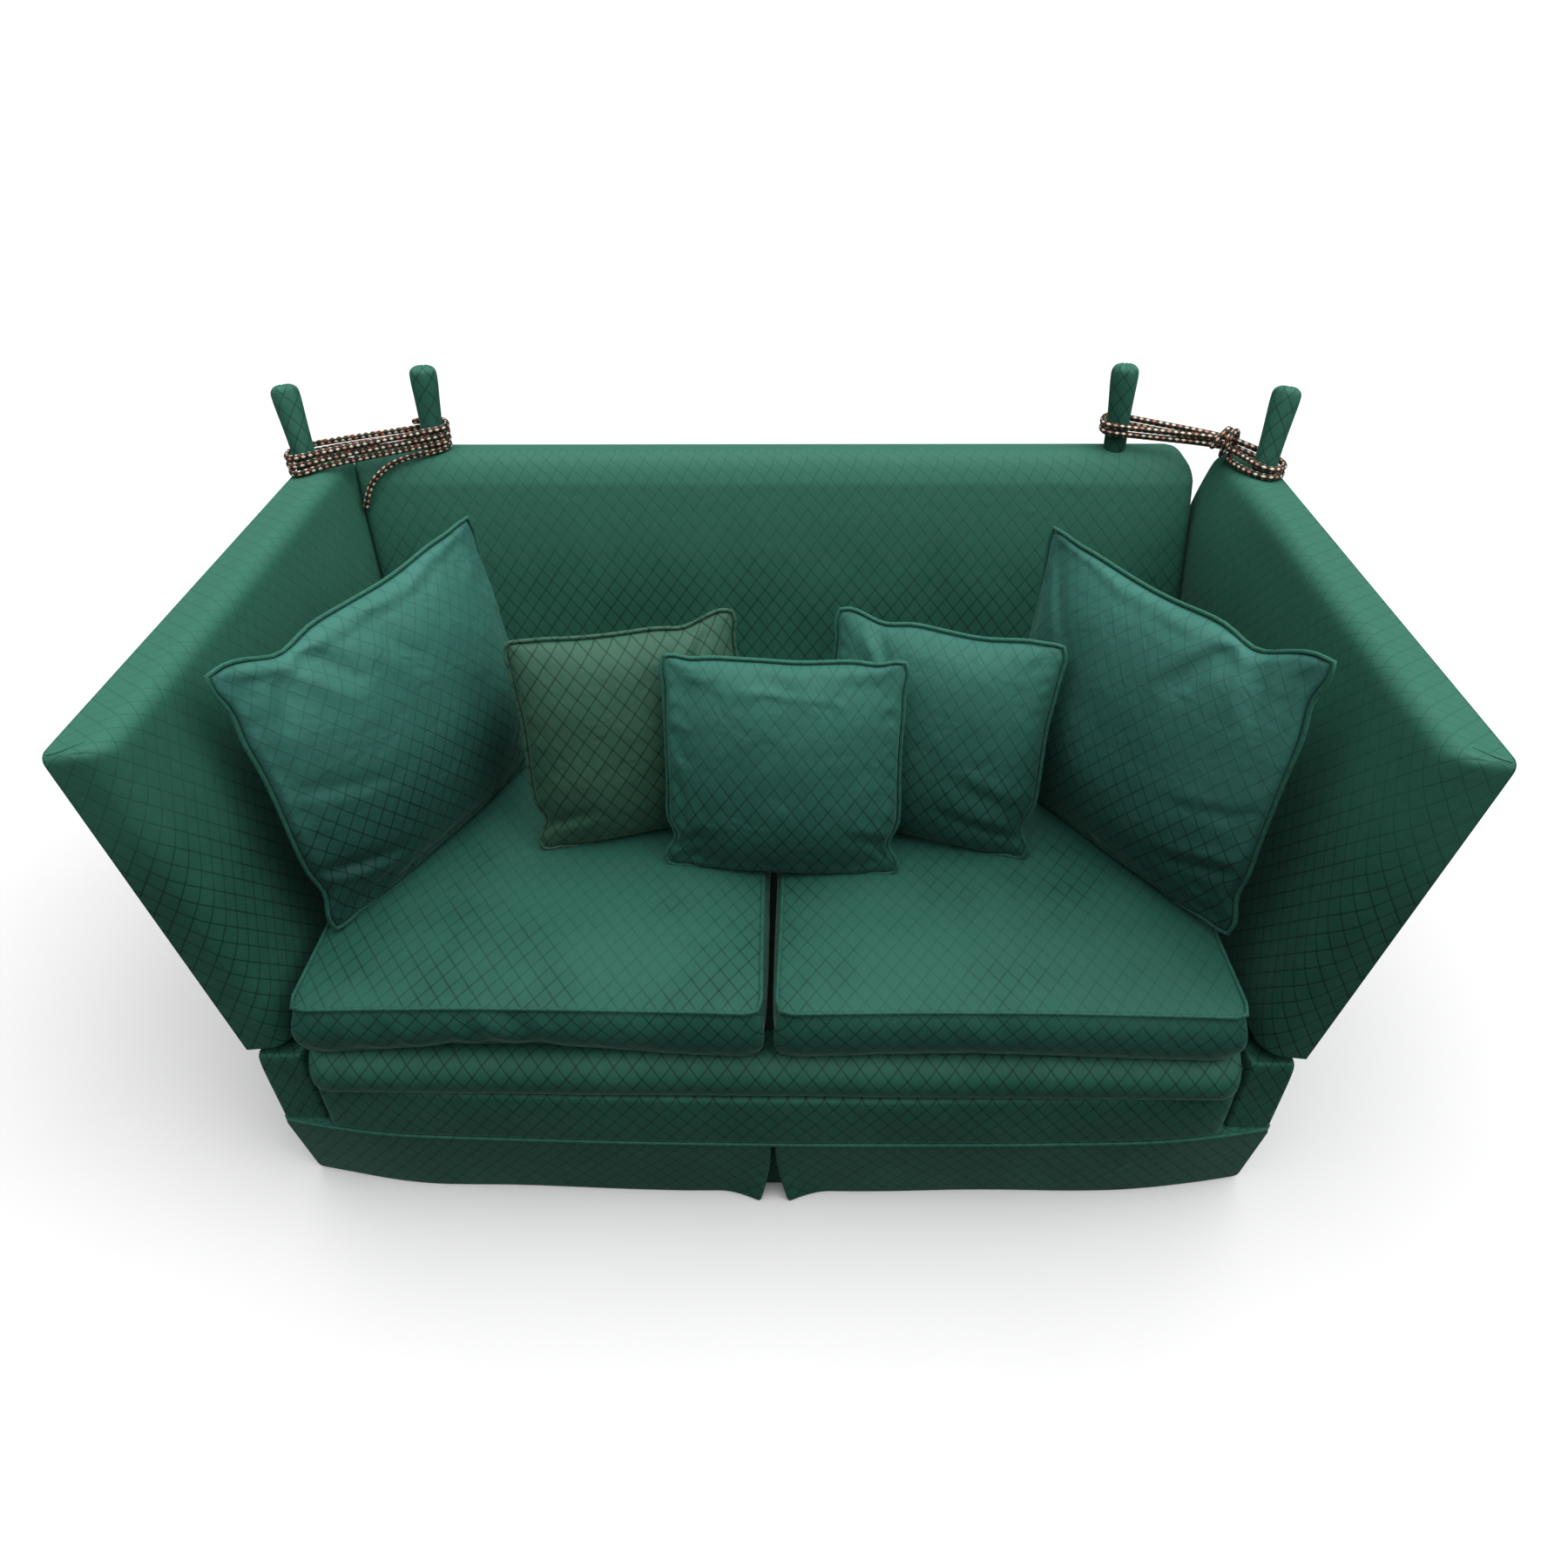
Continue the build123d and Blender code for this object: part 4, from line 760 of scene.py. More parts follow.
def lay_rope(name, route, side):
    """A braided rope: strands bulge where they cross, and its cut ends are whipped round."""
    path = even_steps(rope_line(name, route), ROPE_STEP)
    sides = 6 * STRANDS
    radius = ROPE_THICK / 2
    length = sum((b - a).length for a, b in zip(path, path[1:]))
    rows = len(path)
    piece = cloth_cut(name, sides, rows - 1)
    rings, gone = [], 0.0
    normal = (path[1] - path[0]).orthogonal().normalized()
    for i, centre in enumerate(path):
        ahead = (path[min(i + 1, rows - 1)] - path[max(i - 1, 0)]).normalized()
        normal = (normal - ahead * normal.dot(ahead)).normalized()
        rings.append((centre, normal.copy(), ahead.cross(normal), gone))
        if i < rows - 1:
            gone += (path[i + 1] - centre).length

    def strand(u, v, _):
        centre, out, beside, run = rings[round(v * (rows - 1))]
        angle = 2 * pi * u
        one = sin(pi * (u * STRANDS + run / STRAND_STEP))
        other = sin(pi * (u * STRANDS - run / STRAND_STEP))
        taper = min(1.0, 0.45 + min(run, length - run) / 0.006)
        bulge = radius * (0.90 + 0.10 * abs(one * other)) * taper
        return centre + out * (bulge * cos(angle)) + beside * (bulge * sin(angle))

    lay_flat(piece, 1, length)
    shape(piece, strand)
    weld(piece, capped=True)
    bpy.ops.object.shade_smooth()
    dress(piece, None, (f"{side}_rope",), material=rope_braid, slot="rope")
    way = {"exit": tuple(path[0]), "path": path}
    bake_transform(piece)


lay_rope("left_rope_braid", left_route(), "left")
lay_rope("right_rope_braid", right_route(), "right")

# Arms


def rounded(distance, radius):
    """How far a rounded edge lies inside the square one, at a distance from that edge."""
    if distance >= radius:
        return 0.0
    return radius - sqrt(max(radius**2 - (radius - distance) ** 2, 0.0))


ARC_SHARES = (0.05, 0.16, 0.32, 0.52, 0.75)
NOSE_ROUND = 0.015


def nose(along, up):
    """Takes a point of an arm's side round the soft corner at its top front."""
    p, q = NOSE_ROUND - (along + HALF_DEPTH), NOSE_ROUND - (ARM_HIGH - up)
    if p <= 0 or q <= 0:
        return along, up
    scale = max(p, q) / hypot(p, q)
    return NOSE_ROUND - p * scale - HALF_DEPTH, ARM_HIGH - NOSE_ROUND + q * scale


def upholster_arm(side, sign):
    """An arm's padded cover, its outside panel and the seam between them at the top front corner."""
    high = ARM_HIGH - ARM_LOW
    deep = 2 * HALF_DEPTH
    front_round, thick = 0.040, 0.076
    full, full_at, full_reach = 0.022, 0.78, 0.20
    z_cuts = even(16, 0.004) + [1 - ARM_TOP_ROUND * s / high for s in ARC_SHARES]
    y_cuts = even(24, 0.003) + [front_round * s / deep for s in ARC_SHARES]
    cuts = ((0.03, 0.2, 0.45, 0.7, 0.9, 0.975), y_cuts, z_cuts)
    top_run = round_run(high, ARM_TOP_ROUND)
    cloth = (
        lambda y: round_run(y * deep, front_round),
        lambda z: top_run - round_run((1 - z) * high, ARM_TOP_ROUND),
        thick - front_round,
        ARM_INNER_TOP - ARM_TOP_ROUND,
        True,
    )
    own = arm_place(side, sign)

    def place(a, y, z):
        up, along = ARM_LOW + z * high, -HALF_DEPTH + y * deep
        over = rounded(ARM_HIGH - up, ARM_TOP_ROUND)
        past = rounded(along + HALF_DEPTH, front_round)
        edge = hypot(over, past)
        crown = 0.0035 * sin(pi * y) * sin(pi * z) ** 0.5
        dimple = 0.0012 * rough(along * 5, up * 5, a * 2)
        inner = -(thick + 0.008 * z) + edge - crown - dimple
        if side == "right":
            inner -= full * hump(z - full_at, full_reach) * min(max((along - 0.14) / 0.22, 0.0), 1.0)
        top = 0.0016 * rough(along * 9, a * 3, 4.0) if z > 0.99 else 0.0
        along, up = nose(along, up)
        return own @ Vector((inner * (1 - a), along, up + top))

    upholster(f"{side}_arm_cover", cuts, cloth, place, f"{side}_arm", (f"{side}_arm_pad",), 0.75)

    y_cuts = even(18, 0.003) + [NOSE_ROUND * s / deep for s in (0.5, 0.75, 1)]
    z_cuts = even(12, 0.004) + [1 - NOSE_ROUND * s / high for s in (0.5, 0.75, 1)]
    cuts, cloth = ((0.3, 0.7), y_cuts, z_cuts), (plain(deep), plain(high), 0.004, 0.004, True)

    def place_panel(a, y, z):
        up, along = ARM_LOW + z * high, -HALF_DEPTH + y * deep
        edge = min(along + HALF_DEPTH, HALF_DEPTH - along, up - ARM_LOW, ARM_HIGH - up)
        out = 0.004 - rounded(edge, 0.003) * 0.8
        sag = 0.0010 * rough(along * 4, up * 4, 9.0)
        along, up = nose(along, up)
        return own @ Vector((0.0002 + a * (out + sag * (edge > 0.01)), along, up))

    upholster(f"{side}_arm_outside", cuts, cloth, place_panel, f"{side}_arm", (f"{side}_arm_panel",), 0.9)

    run = []
    for t in (0, 0.25, 0.5, 0.75, 1):
        along, up = nose(-HALF_DEPTH + 0.005 + 0.019 * t - 0.004 * sin(pi * t), ARM_HIGH)
        run.append(own @ Vector((-0.003 - 0.046 * t, along, up + 0.0002)))
    seam = piping(f"{side}_arm_mitre_seam", run, False, 0.0011)
    dress(seam, f"{side}_arm", material=piping_cloth)


for side, sign in SIDES:
    upholster_arm(side, sign)

# Back

FACE_ROUND = 0.068
FACE_ROUND_Z = BACK_TOP - FACE_ROUND
RAKE = tan(radians(17))
REAR_RAKE = tan(radians(5.6))
BACK_LOW = 0.3363
BACK_FACE_Y = 0.376
BACK_FACE_Z = 0.711
BACK_REAR_Y = 0.537
BACK_END = STUMP_INNER - 0.0005
BACK_RISE = 0.625
LEFT_SPREAD = 0.0828
RIGHT_SPREAD = 0.0985
RIGHT_MOST = 0.814
LEFT_REACH = 0.010
LEFT_REACH_Z = 0.93
LEFT_REACH_TALL = 0.055


def back_front_y(z):
    """The inside back's face: raked, then rolled over the top."""
    y = BACK_FACE_Y + (min(z, FACE_ROUND_Z) - BACK_FACE_Z) * RAKE
    rise = max(z - FACE_ROUND_Z, 0.0)
    share = rise / FACE_ROUND
    return y + RAKE * rise * (1 - share**2) + rounded(FACE_ROUND - rise, FACE_ROUND)


def back_rear_y(z):
    """The back's rear, raked less than its face."""
    return BACK_REAR_Y - (BACK_TOP - z) * REAR_RAKE


def back_left_x(z):
    """The back's left end: it spreads with the arm's lean and reaches further at its top to meet the arm."""
    spread = max(z - STUMP_TOP, 0.0) * LEFT_SPREAD / BACK_RISE
    reach = LEFT_REACH * (max(z - LEFT_REACH_Z, 0.0) / LEFT_REACH_TALL) ** 2
    return -(BACK_END + spread + reach) + rounded(BACK_TOP - z, 0.014)


def back_right_x(z):
    """The back's right end: it spreads with the arm's lean, then runs straight up."""
    spread = max(z - STUMP_TOP, 0.0) * RIGHT_SPREAD / BACK_RISE
    return min(BACK_END + spread, RIGHT_MOST) - rounded(BACK_TOP - z, 0.046)


def share_of(z, low, high):
    return (z - low) / (high - low)


def upholster_back():
    """The padded inside back and the panel behind it."""
    arc = [FACE_ROUND_Z + FACE_ROUND * sin(radians(a)) for a in (18, 36, 52, 66, 78, 86)]
    z_cuts = even(14, 0.004) + [share_of(z, BACK_LOW, BACK_TOP) for z in (STUMP_TOP, *arc)]
    cuts = (even(40, 0.0035) + [0.008, 0.992], (0.03, 0.25, 0.5, 0.75, 0.97), z_cuts)
    heights = [BACK_LOW + (BACK_TOP - BACK_LOW) * i / 200 for i in range(201)]
    climbs = [0.0]
    for low, high in zip(heights, heights[1:]):
        climbs.append(climbs[-1] + hypot(high - low, back_front_y(high) - back_front_y(low)))
    cloth = (plain(2 * STUMP_INNER), lambda z: climbs[round(z * 200)], 0.09, 0.09)

    def place(x, y, z):
        up = BACK_LOW + z * (BACK_TOP - BACK_LOW)
        left, right = back_left_x(up), back_right_x(up)
        across = left + x * (right - left)
        crown = 0.004 * (sin(pi * x) * sin(pi * min(z, 0.95))) ** 0.4
        uneven = 0.0022 * rough(across * 3.5, up * 3.5, 1.0)
        edge = min(across - left, right - across)
        front = back_front_y(up) - crown - uneven + rounded(edge, 0.012)
        rear = back_rear_y(up) - 0.004
        top = 0.0015 * rough(across * 6, y * 2, 3.0) if z > 0.99 else 0.0
        return across, front + y * (rear - front), up + top

    upholster("inside_back_cover", cuts, cloth, place, "sofa", ("inside_back",), 0.7)

    low = BASE_LOW
    cuts = (even(30, 0.003), (0.4,), even(16, 0.004) + [0.21, 0.23])
    cloth = (plain(2 * STUMP_INNER), plain(BACK_TOP - low), 0.004, 0.004)

    def place_panel(x, y, z):
        up = low + z * (BACK_TOP - low)
        left, right = back_left_x(up), back_right_x(up)
        across = left + x * (right - left)
        sag = 0.0012 * rough(across * 3, up * 3, 6.0)
        rear = back_rear_y(max(up, BACK_LOW))
        front = rear - 0.004 if up > BACK_LOW - 0.004 else 0.4645
        edge = min(across - left, right - across, up - low, BACK_TOP - up)
        rear -= rounded(edge, 0.003) * 0.7
        return across, front + y * (rear - front) + sag * (y > 0.5) * (edge > 0.01) - 0.0003, up

    upholster("outside_back_panel", cuts, cloth, place_panel, "sofa", ("outside_back",), 0.9)


upholster_back()

# Base covers


BOW = 0.040
BOW_SHARE = 0.715
BOW_AT_SHARE = 0.031


def front_bow(x):
    """How far the front of the base stands out at a place across it."""
    share = abs(x) / HALF_WIDTH
    if share <= BOW_SHARE:
        return BOW - (BOW - BOW_AT_SHARE) * (share / BOW_SHARE) ** 2
    beyond = (share - BOW_SHARE) / (1 - BOW_SHARE)
    return BOW_AT_SHARE * (1 - 0.35 * beyond - 0.65 * beyond**2)


BORDER_HALF = 0.755
BORDER_TOP = 0.309
BORDER_REAR = -0.464
LEDGE_REAR = -0.455
LEDGE_LOW = 0.1868
LEDGE_THICK = 0.0022
ROLL_HALF = 0.745
ROLL_ROUND = 0.041
ROLL_FRONT = -0.520
ROLL_REAR = -0.4385
DECK_HALF = 0.7635
DECK_LOW = 0.336


def upholster_base():
    """The front border and roll, the stumps, the deck, and the strips of cloth that cover the timber."""
    low, high = BASE_LOW, BORDER_TOP
    cuts = (even(36, 0.0025) + [0.006, 0.994], (0.1, 0.5), even(6, 0.02) + [0.07, 0.93])
    cloth = (plain(2 * BORDER_HALF), plain(high - low), 0.05, 0.05)

    def place_border(x, y, z):
        across = -BORDER_HALF + 2 * BORDER_HALF * x
        up = low + z * (high - low)
        front = -HALF_DEPTH - front_bow(across)
        corner = rounded(BORDER_HALF - abs(across), 0.014)
        edge = rounded(high - up, 0.007) + rounded(up - low, 0.005)
        full = 0.0022 * sin(pi * z) + 0.0016 * rough(across * 5, up * 9, 2.0)
        front += corner + edge - full
        return across, front + y * (BORDER_REAR - front), up

    upholster("front_border_cover", cuts, cloth, place_border, "sofa", ("front_border",), 0.8)

    cuts, cloth = (even(32), (0.5,), ()), (plain(1.68), plain(0.002), 0.05, 0.05)

    def place_ledge(x, y, z):
        across = (HALF_WIDTH - 0.002) * (2 * x - 1)
        front = -HALF_DEPTH - front_bow(across) + 0.002
        return across, front + y * (LEDGE_REAR - front), LEDGE_LOW + LEDGE_THICK * z

    upholster("skirt_ledge", cuts, cloth, place_ledge, "sofa", crisp=True)

    low_roll, high_roll = 0.3093, 0.3917
    arc = [0.5 + 0.5 * sin(radians(a)) for a in (-80, -62, -40, -20, 0, 20, 40, 62, 80)]
    cuts = (even(36, 0.0025) + [0.007, 0.018, 0.982, 0.993], (0.08, 0.3, 0.6, 0.85), arc)
    cloth = (plain(2 * ROLL_HALF), lambda z: ROLL_ROUND * (asin(2 * z - 1) + pi / 2), 0.09, 0.09)

    def place_roll(x, y, z):
        across = -ROLL_HALF + 2 * ROLL_HALF * x
        up = low_roll + z * (high_roll - low_roll)
        turn = (0.020 if z < 0.5 else ROLL_ROUND) * (1 - sqrt(max(1 - (2 * z - 1) ** 2, 0.0)))
        end = rounded(ROLL_HALF - abs(across), 0.026)
        uneven = 0.0016 * rough(across * 6, up * 4, 7.0)
        front = ROLL_FRONT + turn + end - uneven
        return across, front + y * (ROLL_REAR - front), up

    upholster("front_roll_cover", cuts, cloth, place_roll, "sofa", ("front_roll",), 0.7)

    for side, sign in SIDES:
        long = 2 * HALF_DEPTH
        cuts = ((0.05, 0.14, 0.5, 0.86, 0.95), even(24, 0.004) + [0.012, 0.988], even(6, 0.012))
        cloth = (plain(HALF_WIDTH - STUMP_INNER), plain(STUMP_TOP - low), long, long)

        def place_stump(x, y, z):
            up = BASE_LOW + z * (STUMP_TOP - BASE_LOW)
            along = -HALF_DEPTH + long * y
            end = rounded(HALF_DEPTH - abs(along), 0.009)
            top = rounded(STUMP_TOP - up, 0.005)
            inner, outer = STUMP_INNER + end * 0.6 + top, HALF_WIDTH - end * 0.6 - top
            full = 0.0012 * rough(along * 6, up * 8, sign)
            shrink = top * (1 if along < 0 else -1) if HALF_DEPTH - abs(along) < 0.02 else 0.0
            return sign * (inner + x * (outer - inner) + full * (x > 0.9)), along + shrink, up

        upholster(f"{side}_stump_pad", cuts, cloth, place_stump, "sofa", (f"{side}_stump_cover",), 0.8)

        cuts, cloth = ((0.5,), (), (0.25, 0.5, 0.75)), (plain(0.026), plain(0.148), 0.029, 0.029)

        def place_facing(x, y, z):
            return sign * (0.7382 + 0.0256 * x), -0.4664 + 0.0290 * y, 0.1896 + 0.1482 * z

        upholster(f"{side}_rail_facing", cuts, cloth, place_facing, "sofa", crisp=True)

    front, deep, rear, tall = -0.438, 0.693, 0.255, 0.0555
    cuts = (even(24, 0.005), even(14, 0.008), (0.1, 0.5, 0.9))
    cloth = (plain(2 * DECK_HALF), plain(tall), deep, deep)

    def place_deck(x, y, z):
        across = -DECK_HALF + 2 * DECK_HALF * x
        along = front + deep * y
        edge = min(DECK_HALF - abs(across), along - front, rear - along)
        return across, along, DECK_LOW + z * (tall - rounded(edge, 0.016) - 0.0008)

    looks = {"material": lining, "slot": "deck"}
    upholster("seat_deck_cover", cuts, cloth, place_deck, "sofa", ("seat_deck",), 0.5, **looks)


upholster_base()

# Skirt

SKIRT_FALL = 0.178
SKIRT_THICK = 0.0024
PLEAT_WIDE = 0.132
BACK_SKIRT_WIDE = 1.677
SIDE_SKIRT_WIDE = 0.9465
CORNER_PLEAT_WIDE = 0.124
SKIRT_INSET = 0.024


def hang_skirt(name, node, width, place, columns, top=0.182):
    """A panel of the skirt: cut cloth hung from the welt, given its thickness.

    place takes a share of the width and of the way down, and gives where the cloth is seen from above."""
    piece = cloth_cut(name, columns, 10)
    lay_flat(piece, width, SKIRT_FALL)
    shape(piece, lambda u, v, _: (*place(u, 1 - v), FLOOR_GAP + v * (top - FLOOR_GAP)))
    choose(piece)
    modify(piece, "soften", "SUBSURF", levels=1, render_levels=1)
    modify(piece, "thick", "SOLIDIFY", thickness=SKIRT_THICK, offset=0.0)
    bpy.ops.object.shade_smooth_by_angle(angle=radians(50))
    dress(piece, "sofa", (node,))


def upholster_skirt():
    """The skirt's panels, the underlay in its middle and the pleats at its corners."""
    for side, sign in SIDES:
        back_run, front_run = 0.046, HALF_WIDTH - 0.006
        width = back_run + front_run + 0.004

        def place(u, fall):
            flare = fall**2.2
            fold_x = 0.0022 + flare * 0.020
            run = u * width - back_run
            depth = HALF_DEPTH + front_bow(0) - fall * SKIRT_INSET + flare * 0.022
            if run < -0.004:
                x = fold_x - run - 0.003
                y = HALF_DEPTH + front_bow(x) - fall * SKIRT_INSET - 0.009 + flare * 0.006
            else:
                share = max(run, 0.0) / front_run
                x = fold_x + share * (HALF_WIDTH - 0.0045 - 0.004 * fall - fold_x)
                hangs = HALF_DEPTH + front_bow(x) - fall * SKIRT_INSET
                near = max(0.0, 1 - share * front_run / 0.075)
                y = hangs + (depth - hangs) * near**1.6
                sway = sin(share * 11) * 0.5 + rough(x * 4 * sign, 0.5, sign)
                y += fall * 0.0040 * sway * min(share * 6, (1 - share) * 8, 1)
                if run < 0:
                    y -= 0.003
                    x -= 0.001
            return sign * x, -y + 0.0016

        hang_skirt(f"{side}_front_skirt", f"skirt_front_{side}", width, place, 96)

    def place_underlay(u, fall):
        y = HALF_DEPTH + front_bow(0.25) - 0.0135 - fall * SKIRT_INSET - 0.0015
        return -PLEAT_WIDE / 2 + PLEAT_WIDE * u, -y

    hang_skirt("pleat_underlay", "skirt_pleat", PLEAT_WIDE, place_underlay, 16)

    def place_back(u, fall):
        x = BACK_SKIRT_WIDE / 2 - BACK_SKIRT_WIDE * u
        sway = rough(x * 3, 2.5, 0) * 0.0022 * fall
        return x, HALF_DEPTH - 0.0016 - 0.004 * fall + sway * 0.6

    hang_skirt("back_skirt", "skirt_back", BACK_SKIRT_WIDE, place_back, 80)

    for side, sign in SIDES:

        def place_side(u, fall):
            y = -0.4742 + SIDE_SKIRT_WIDE * (u if sign > 0 else 1 - u)
            y += 0.0235 * fall * max(-y - 0.35, 0.0) / 0.1242
            sway = rough(y * 4, 4.5, sign) * 0.0022 * fall
            return sign * (HALF_WIDTH - 0.0016 - 0.004 * fall + sway * 0.6), y

        hang_skirt(f"{side}_side_skirt", "skirt_sides", SIDE_SKIRT_WIDE, place_side, 48)

    for side, sign_x in SIDES:
        for end, sign_y in (("front", -1), ("rear", 1)):

            def place_corner(u, fall):
                run = (u - 0.5) * CORNER_PLEAT_WIDE
                y = 0.4631 - max(run, 0.0) - (0.022 * fall if sign_y < 0 else 0.0)
                return sign_x * (0.8291 - max(-run, 0.0)), sign_y * y

            name = f"{side}_{end}_corner_pleat"
            hang_skirt(name, "corner_pleats", CORNER_PLEAT_WIDE, place_corner, 17, 0.168)


def skirt_cord():
    """The welt round the top of the skirt."""
    half, deep, corner = HALF_WIDTH - 0.0012, HALF_DEPTH - 0.0012, 0.006
    along_front = [(half - corner) * (i / 32 - 1) for i in range(65)]
    line = [(x, -deep - front_bow(x)) for x in along_front]
    line += [(half, (deep - corner) * (i / 4 - 1)) for i in range(9)]
    line += [((half - corner) * (1 - i / 4), deep) for i in range(9)]
    line += [(-half, (deep - corner) * (1 - i / 4)) for i in range(9)]
    piece = piping("skirt_welt_cord", [(x, y, SKIRT_TOP) for x, y in line], True, PIPING, 10)
    dress(piece, "sofa", ("skirt_welt",), material=piping_cloth, slot="piping")


skirt_cord()
upholster_skirt()

# Pegs

PEG_LINE = ((-0.03, 0.0212), (0.0, 0.0216), (0.045, 0.0211), (0.09, 0.0232), (0.130, 0.0258), (0.148, 0.0256))
PEG_LINE += ((0.1555, 0.0218), (0.1596, 0.0140), (0.1612, 0.0070), (0.1616, 0.0022))


def peg_radius(height):
    """The peg's radius at a height over its foot."""
    for (low, r_low), (high, r_high) in zip(PEG_LINE, PEG_LINE[1:]):
        if height <= high:
            return r_low + (r_high - r_low) * (height - low) / (high - low)
    return PEG_LINE[-1][1]


def cover_peg(node, body):
    """A turned peg under cloth that is gathered and stitched at its top."""
    bpy.ops.mesh.primitive_cylinder_add(vertices=48, radius=1, depth=1, location=(0, 0, 0.5))
    piece = named(f"{node}_cover")
    base = peg_places[node]
    low, high = PEG_LINE[0][0], PEG_LINE[-1][0]
    heights = [low + (high - low) * i / 12 for i in range(1, 12)]
    heights += [0.139, 0.150, 0.153, 0.1565, 0.159, 0.1606]
    cut_across((), (), [share_of(height, low, high) for height in heights])

    def place(x, y, z):
        height = low + z * (high - low)
        angle = atan2(y, x)
        radius = peg_radius(height) * min(hypot(x, y), 1)
        gather = max(0.0, share_of(height, 0.130, high))
        pleat = sin(angle * 11 + 1.5 * sin(angle * 2)) * min(radius / 0.01, 1)
        radius += 0.0012 * gather * pleat
        height += 0.0012 * gather**2 * pleat
        return base @ Vector((radius * cos(angle), radius * sin(angle), height - 0.0012 * (gather > 0.97)))

    shape(piece, place)
    finish_mesh(piece)
    mesh, layer = piece.data, cloth_map(piece)
    back = base.inverted()
    for face in mesh.polygons:
        middle = back @ face.center
        around = atan2(middle.y, middle.x)
        for index in face.loop_indices:
            spot = back @ mesh.vertices[mesh.loops[index].vertex_index].co
            angle = atan2(spot.y, spot.x)
            if angle - around > pi:
                angle -= 2 * pi
            elif around - angle > pi:
                angle += 2 * pi
            layer.data[index].uv = (angle * 0.0239, spot.z)
    dress(piece, body, (node,), 0.95, peg_cloth)


for side, _ in SIDES:
    cover_peg(f"{side}_back_peg", "sofa")
    cover_peg(f"{side}_arm_peg", f"{side}_arm")

# Seat cushions


def mark_seam(piece):
    """Marks the points on the edges of a piece that isn't shaped yet: its seams, where it is pinned."""
    seam = [point.index for point in piece.data.vertices if sum(min(c, 1 - c) < 0.0001 for c in point.co) > 1]
    piece.vertex_groups.new(name="seam").add(seam, 1.0, "REPLACE")


def swell(piece, pressure, limit):
    """Lets the cloth fill out between its seams under the stuffing's pressure, no further than limit."""
    before = [point.co.copy() for point in piece.data.vertices]
    choose(piece)
    cloth = piece.modifiers.new("cloth", "CLOTH")
    settings = cloth.settings
    settings.quality = 5
    settings.use_pressure = True
    settings.uniform_pressure_force = pressure
    settings.effector_weights.gravity = 0
    settings.tension_stiffness = settings.compression_stiffness = 15
    settings.bending_stiffness = 0.5
    settings.vertex_group_mass = "seam"
    cloth.collision_settings.use_collision = False
    scene = bpy.context.scene
    scene.frame_start, scene.frame_end = 1, 20
    for step in range(1, 21):
        scene.frame_set(step)
    bpy.ops.object.modifier_apply(modifier=cloth.name)
    scene.frame_set(1)
    for point, old in zip(piece.data.vertices, before):
        moved = point.co - old
        if moved.length > limit:
            point.co = old + moved.normalized() * limit


def seat_outline(u, v, width, deep, inset):
    """A point of a seat cushion's outline, its sides drawn in a little between the corners."""
    x = (width / 2 - inset) * u
    y = (deep / 2 - inset) * v
    x -= copysign(0.006, u) * abs(u) ** 6 * (1 - v**2)
    y -= copysign(0.006, v) * abs(v) ** 6 * (1 - u**2)
    corner = max(0.0, abs(u) + abs(v) - 1.93) / 0.07
    x -= copysign(0.006 * corner, u)
    y -= copysign(0.006 * corner, v)
    return x, y


